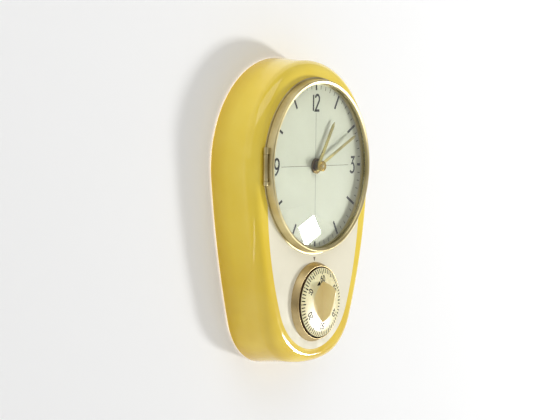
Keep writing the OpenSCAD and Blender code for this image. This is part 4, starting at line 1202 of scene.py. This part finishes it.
def staged_plane(name, low, high, material):
    """A level or upright rectangle of the studio between two corners in metres."""
    (x0, y0, z0), (x1, y1, z1) = low, high
    mesh = bpy.data.meshes.new(name)
    mesh.from_pydata([(x0, y0, z0), (x1, y0, z0), (x1, y1, z1), (x0, y1, z1)], [], [[0, 1, 2, 3]])
    mesh.materials.append(material)
    placed(name, mesh)


def plain_paint(name, colour, one_sided, glow=0.0):
    """Matt studio paint; a one-sided wall is open when seen from behind."""
    look = Look(
        name, Roughness=0.9, Specular_IOR_Level=0.1, Base_Color=colour,
        Emission_Color=colour, Emission_Strength=glow,
    )
    if one_sided:
        behind = look.node("NewGeometry")["Backfacing"]
        shadow = look.node("LightPath")["Is Shadow Ray"]
        look.see_through(look.node("Math", {0: behind, 1: shadow}, operation="MAXIMUM")[0])
    return look.material


STAGE_HALF, STAGE_TOP, FLOOR_LEVEL = 4.0, 3.0, -1.1
WALL_BEHIND = 0.0008
staged_plane(
    "studio_wall", (-STAGE_HALF, WALL_BEHIND, FLOOR_LEVEL), (STAGE_HALF, WALL_BEHIND, STAGE_TOP),
    plain_paint("wall_paint", srgb(230, 230, 229), True, 0.17),
)
staged_plane(
    "studio_floor", (-STAGE_HALF, -STAGE_HALF, FLOOR_LEVEL), (STAGE_HALF, STAGE_HALF, FLOOR_LEVEL),
    plain_paint("floor_paint", srgb(240, 240, 240), False),
)


def direction(azimuth, elevation):
    """Unit vector from the clock; azimuth is to the right of the face's own direction."""
    a, e = math.radians(azimuth), math.radians(elevation)
    return Vector((math.sin(a) * math.cos(e), -math.cos(a) * math.cos(e), math.sin(e)))


def area_light(name, place, width, height, power):
    """A rectangular light, not yet turned."""
    data = bpy.data.lights.new(name, "AREA")
    data.shape = "RECTANGLE"
    data.size, data.size_y = width, height
    data.energy = power
    light = placed(name, data)
    light.location = place
    return light


def softbox(name, target, azimuth, elevation, distance, width, height, power):
    """A rectangular light that faces the target."""
    away = direction(azimuth, elevation)
    light = area_light(name, target + away * distance, width, height, power)
    light.rotation_euler = (-away).to_track_quat("-Z", "Y").to_euler()
    return light


def turn_light(light, along, back):
    """Turns a light so that its width runs along one direction and its back faces another."""
    light.rotation_euler = Matrix((along, back.cross(along), back)).transposed().to_euler()


dial_place = Vector((0, DIAL_Y * MM, DIAL_Z * MM))
middle = Vector((0, -0.03, -0.11))

# The key light stands on one corner, leaning back, so that it mirrors as a narrow diamond
KEY_BEARING = (51.7, -14.4)
KEY_LEAN = math.radians(55)
KEY_TARGET = dial_place + Vector((-0.018, 0, -0.05))
key = softbox("key", KEY_TARGET, *KEY_BEARING, 2.4, 0.351, 0.351, 58.0)
aim = direction(*KEY_BEARING)
across = Vector((0, 0, 1)).cross(aim).normalized()
leaned = (aim.cross(across) * math.cos(KEY_LEAN) + aim * math.sin(KEY_LEAN)).normalized()
box_x, box_y = (across + leaned).normalized(), (leaned - across).normalized()
turn_light(key, box_x, box_x.cross(box_y))

softbox("fill_left", middle, -70, 30, 2.2, 1.6, 1.8, 3.6)
softbox("fill_top", middle, -20, 55, 2.0, 1.8, 1.2, 9.5)
softbox("fill_back", Vector((0, 0, -0.11)), 180, 12, 2.0, 0.7, 0.7, 45.0)

# A thin strip on the left mirrors as a bright line down the shoulder
STRIP_TARGET = Vector((-0.081, -0.037, -0.13))
STRIP_REACH, STRIP_WIDTH, STRIP_POWER = 1.5, 0.02, 0.45
strip_start, strip_end = (direction(*b) * STRIP_REACH for b in ((-54, -17), (-92, -27)))
strip_middle = (strip_start + strip_end) / 2
strip_run = strip_end - strip_start
strip = area_light(
    "strip_left", STRIP_TARGET + strip_middle, strip_run.length, STRIP_WIDTH, STRIP_POWER
)
strip_run.normalize()
turn_light(strip, strip_run, (strip_middle - strip_run * strip_middle.dot(strip_run)).normalized())

world = bpy.data.worlds.new("studio")
bpy.context.scene.world = world
world.use_nodes = True
world.node_tree.nodes["Background"].inputs["Color"].default_value = (0.98, 0.98, 1.0, 1.0)
world.node_tree.nodes["Background"].inputs["Strength"].default_value = 0.40

view = bpy.context.scene.view_settings
view.view_transform = "Standard"
view.look = "None"
view.exposure = 0.0

YAW, PITCH, ROLL = math.radians(54.55), math.radians(-3.18), math.radians(0.59)
CAMERA_FROM_DIAL = Vector((-1.358, -0.931, 0.0535))
forward = Vector((math.sin(YAW) * math.cos(PITCH), math.cos(YAW) * math.cos(PITCH), math.sin(PITCH)))
level = Vector((math.cos(YAW), -math.sin(YAW), 0.0))
above = level.cross(forward)
right = level * math.cos(ROLL) + above * math.sin(ROLL)
upward = above * math.cos(ROLL) - level * math.sin(ROLL)
lens = bpy.data.cameras.new("camera")
lens.sensor_width = 36.0
lens.lens = 124.2
camera = placed("camera", lens)
camera.matrix_world = Matrix.Translation(dial_place + CAMERA_FROM_DIAL) @ Matrix(
    (right, upward, -forward)
).transposed().to_4x4()
bpy.context.scene.camera = camera
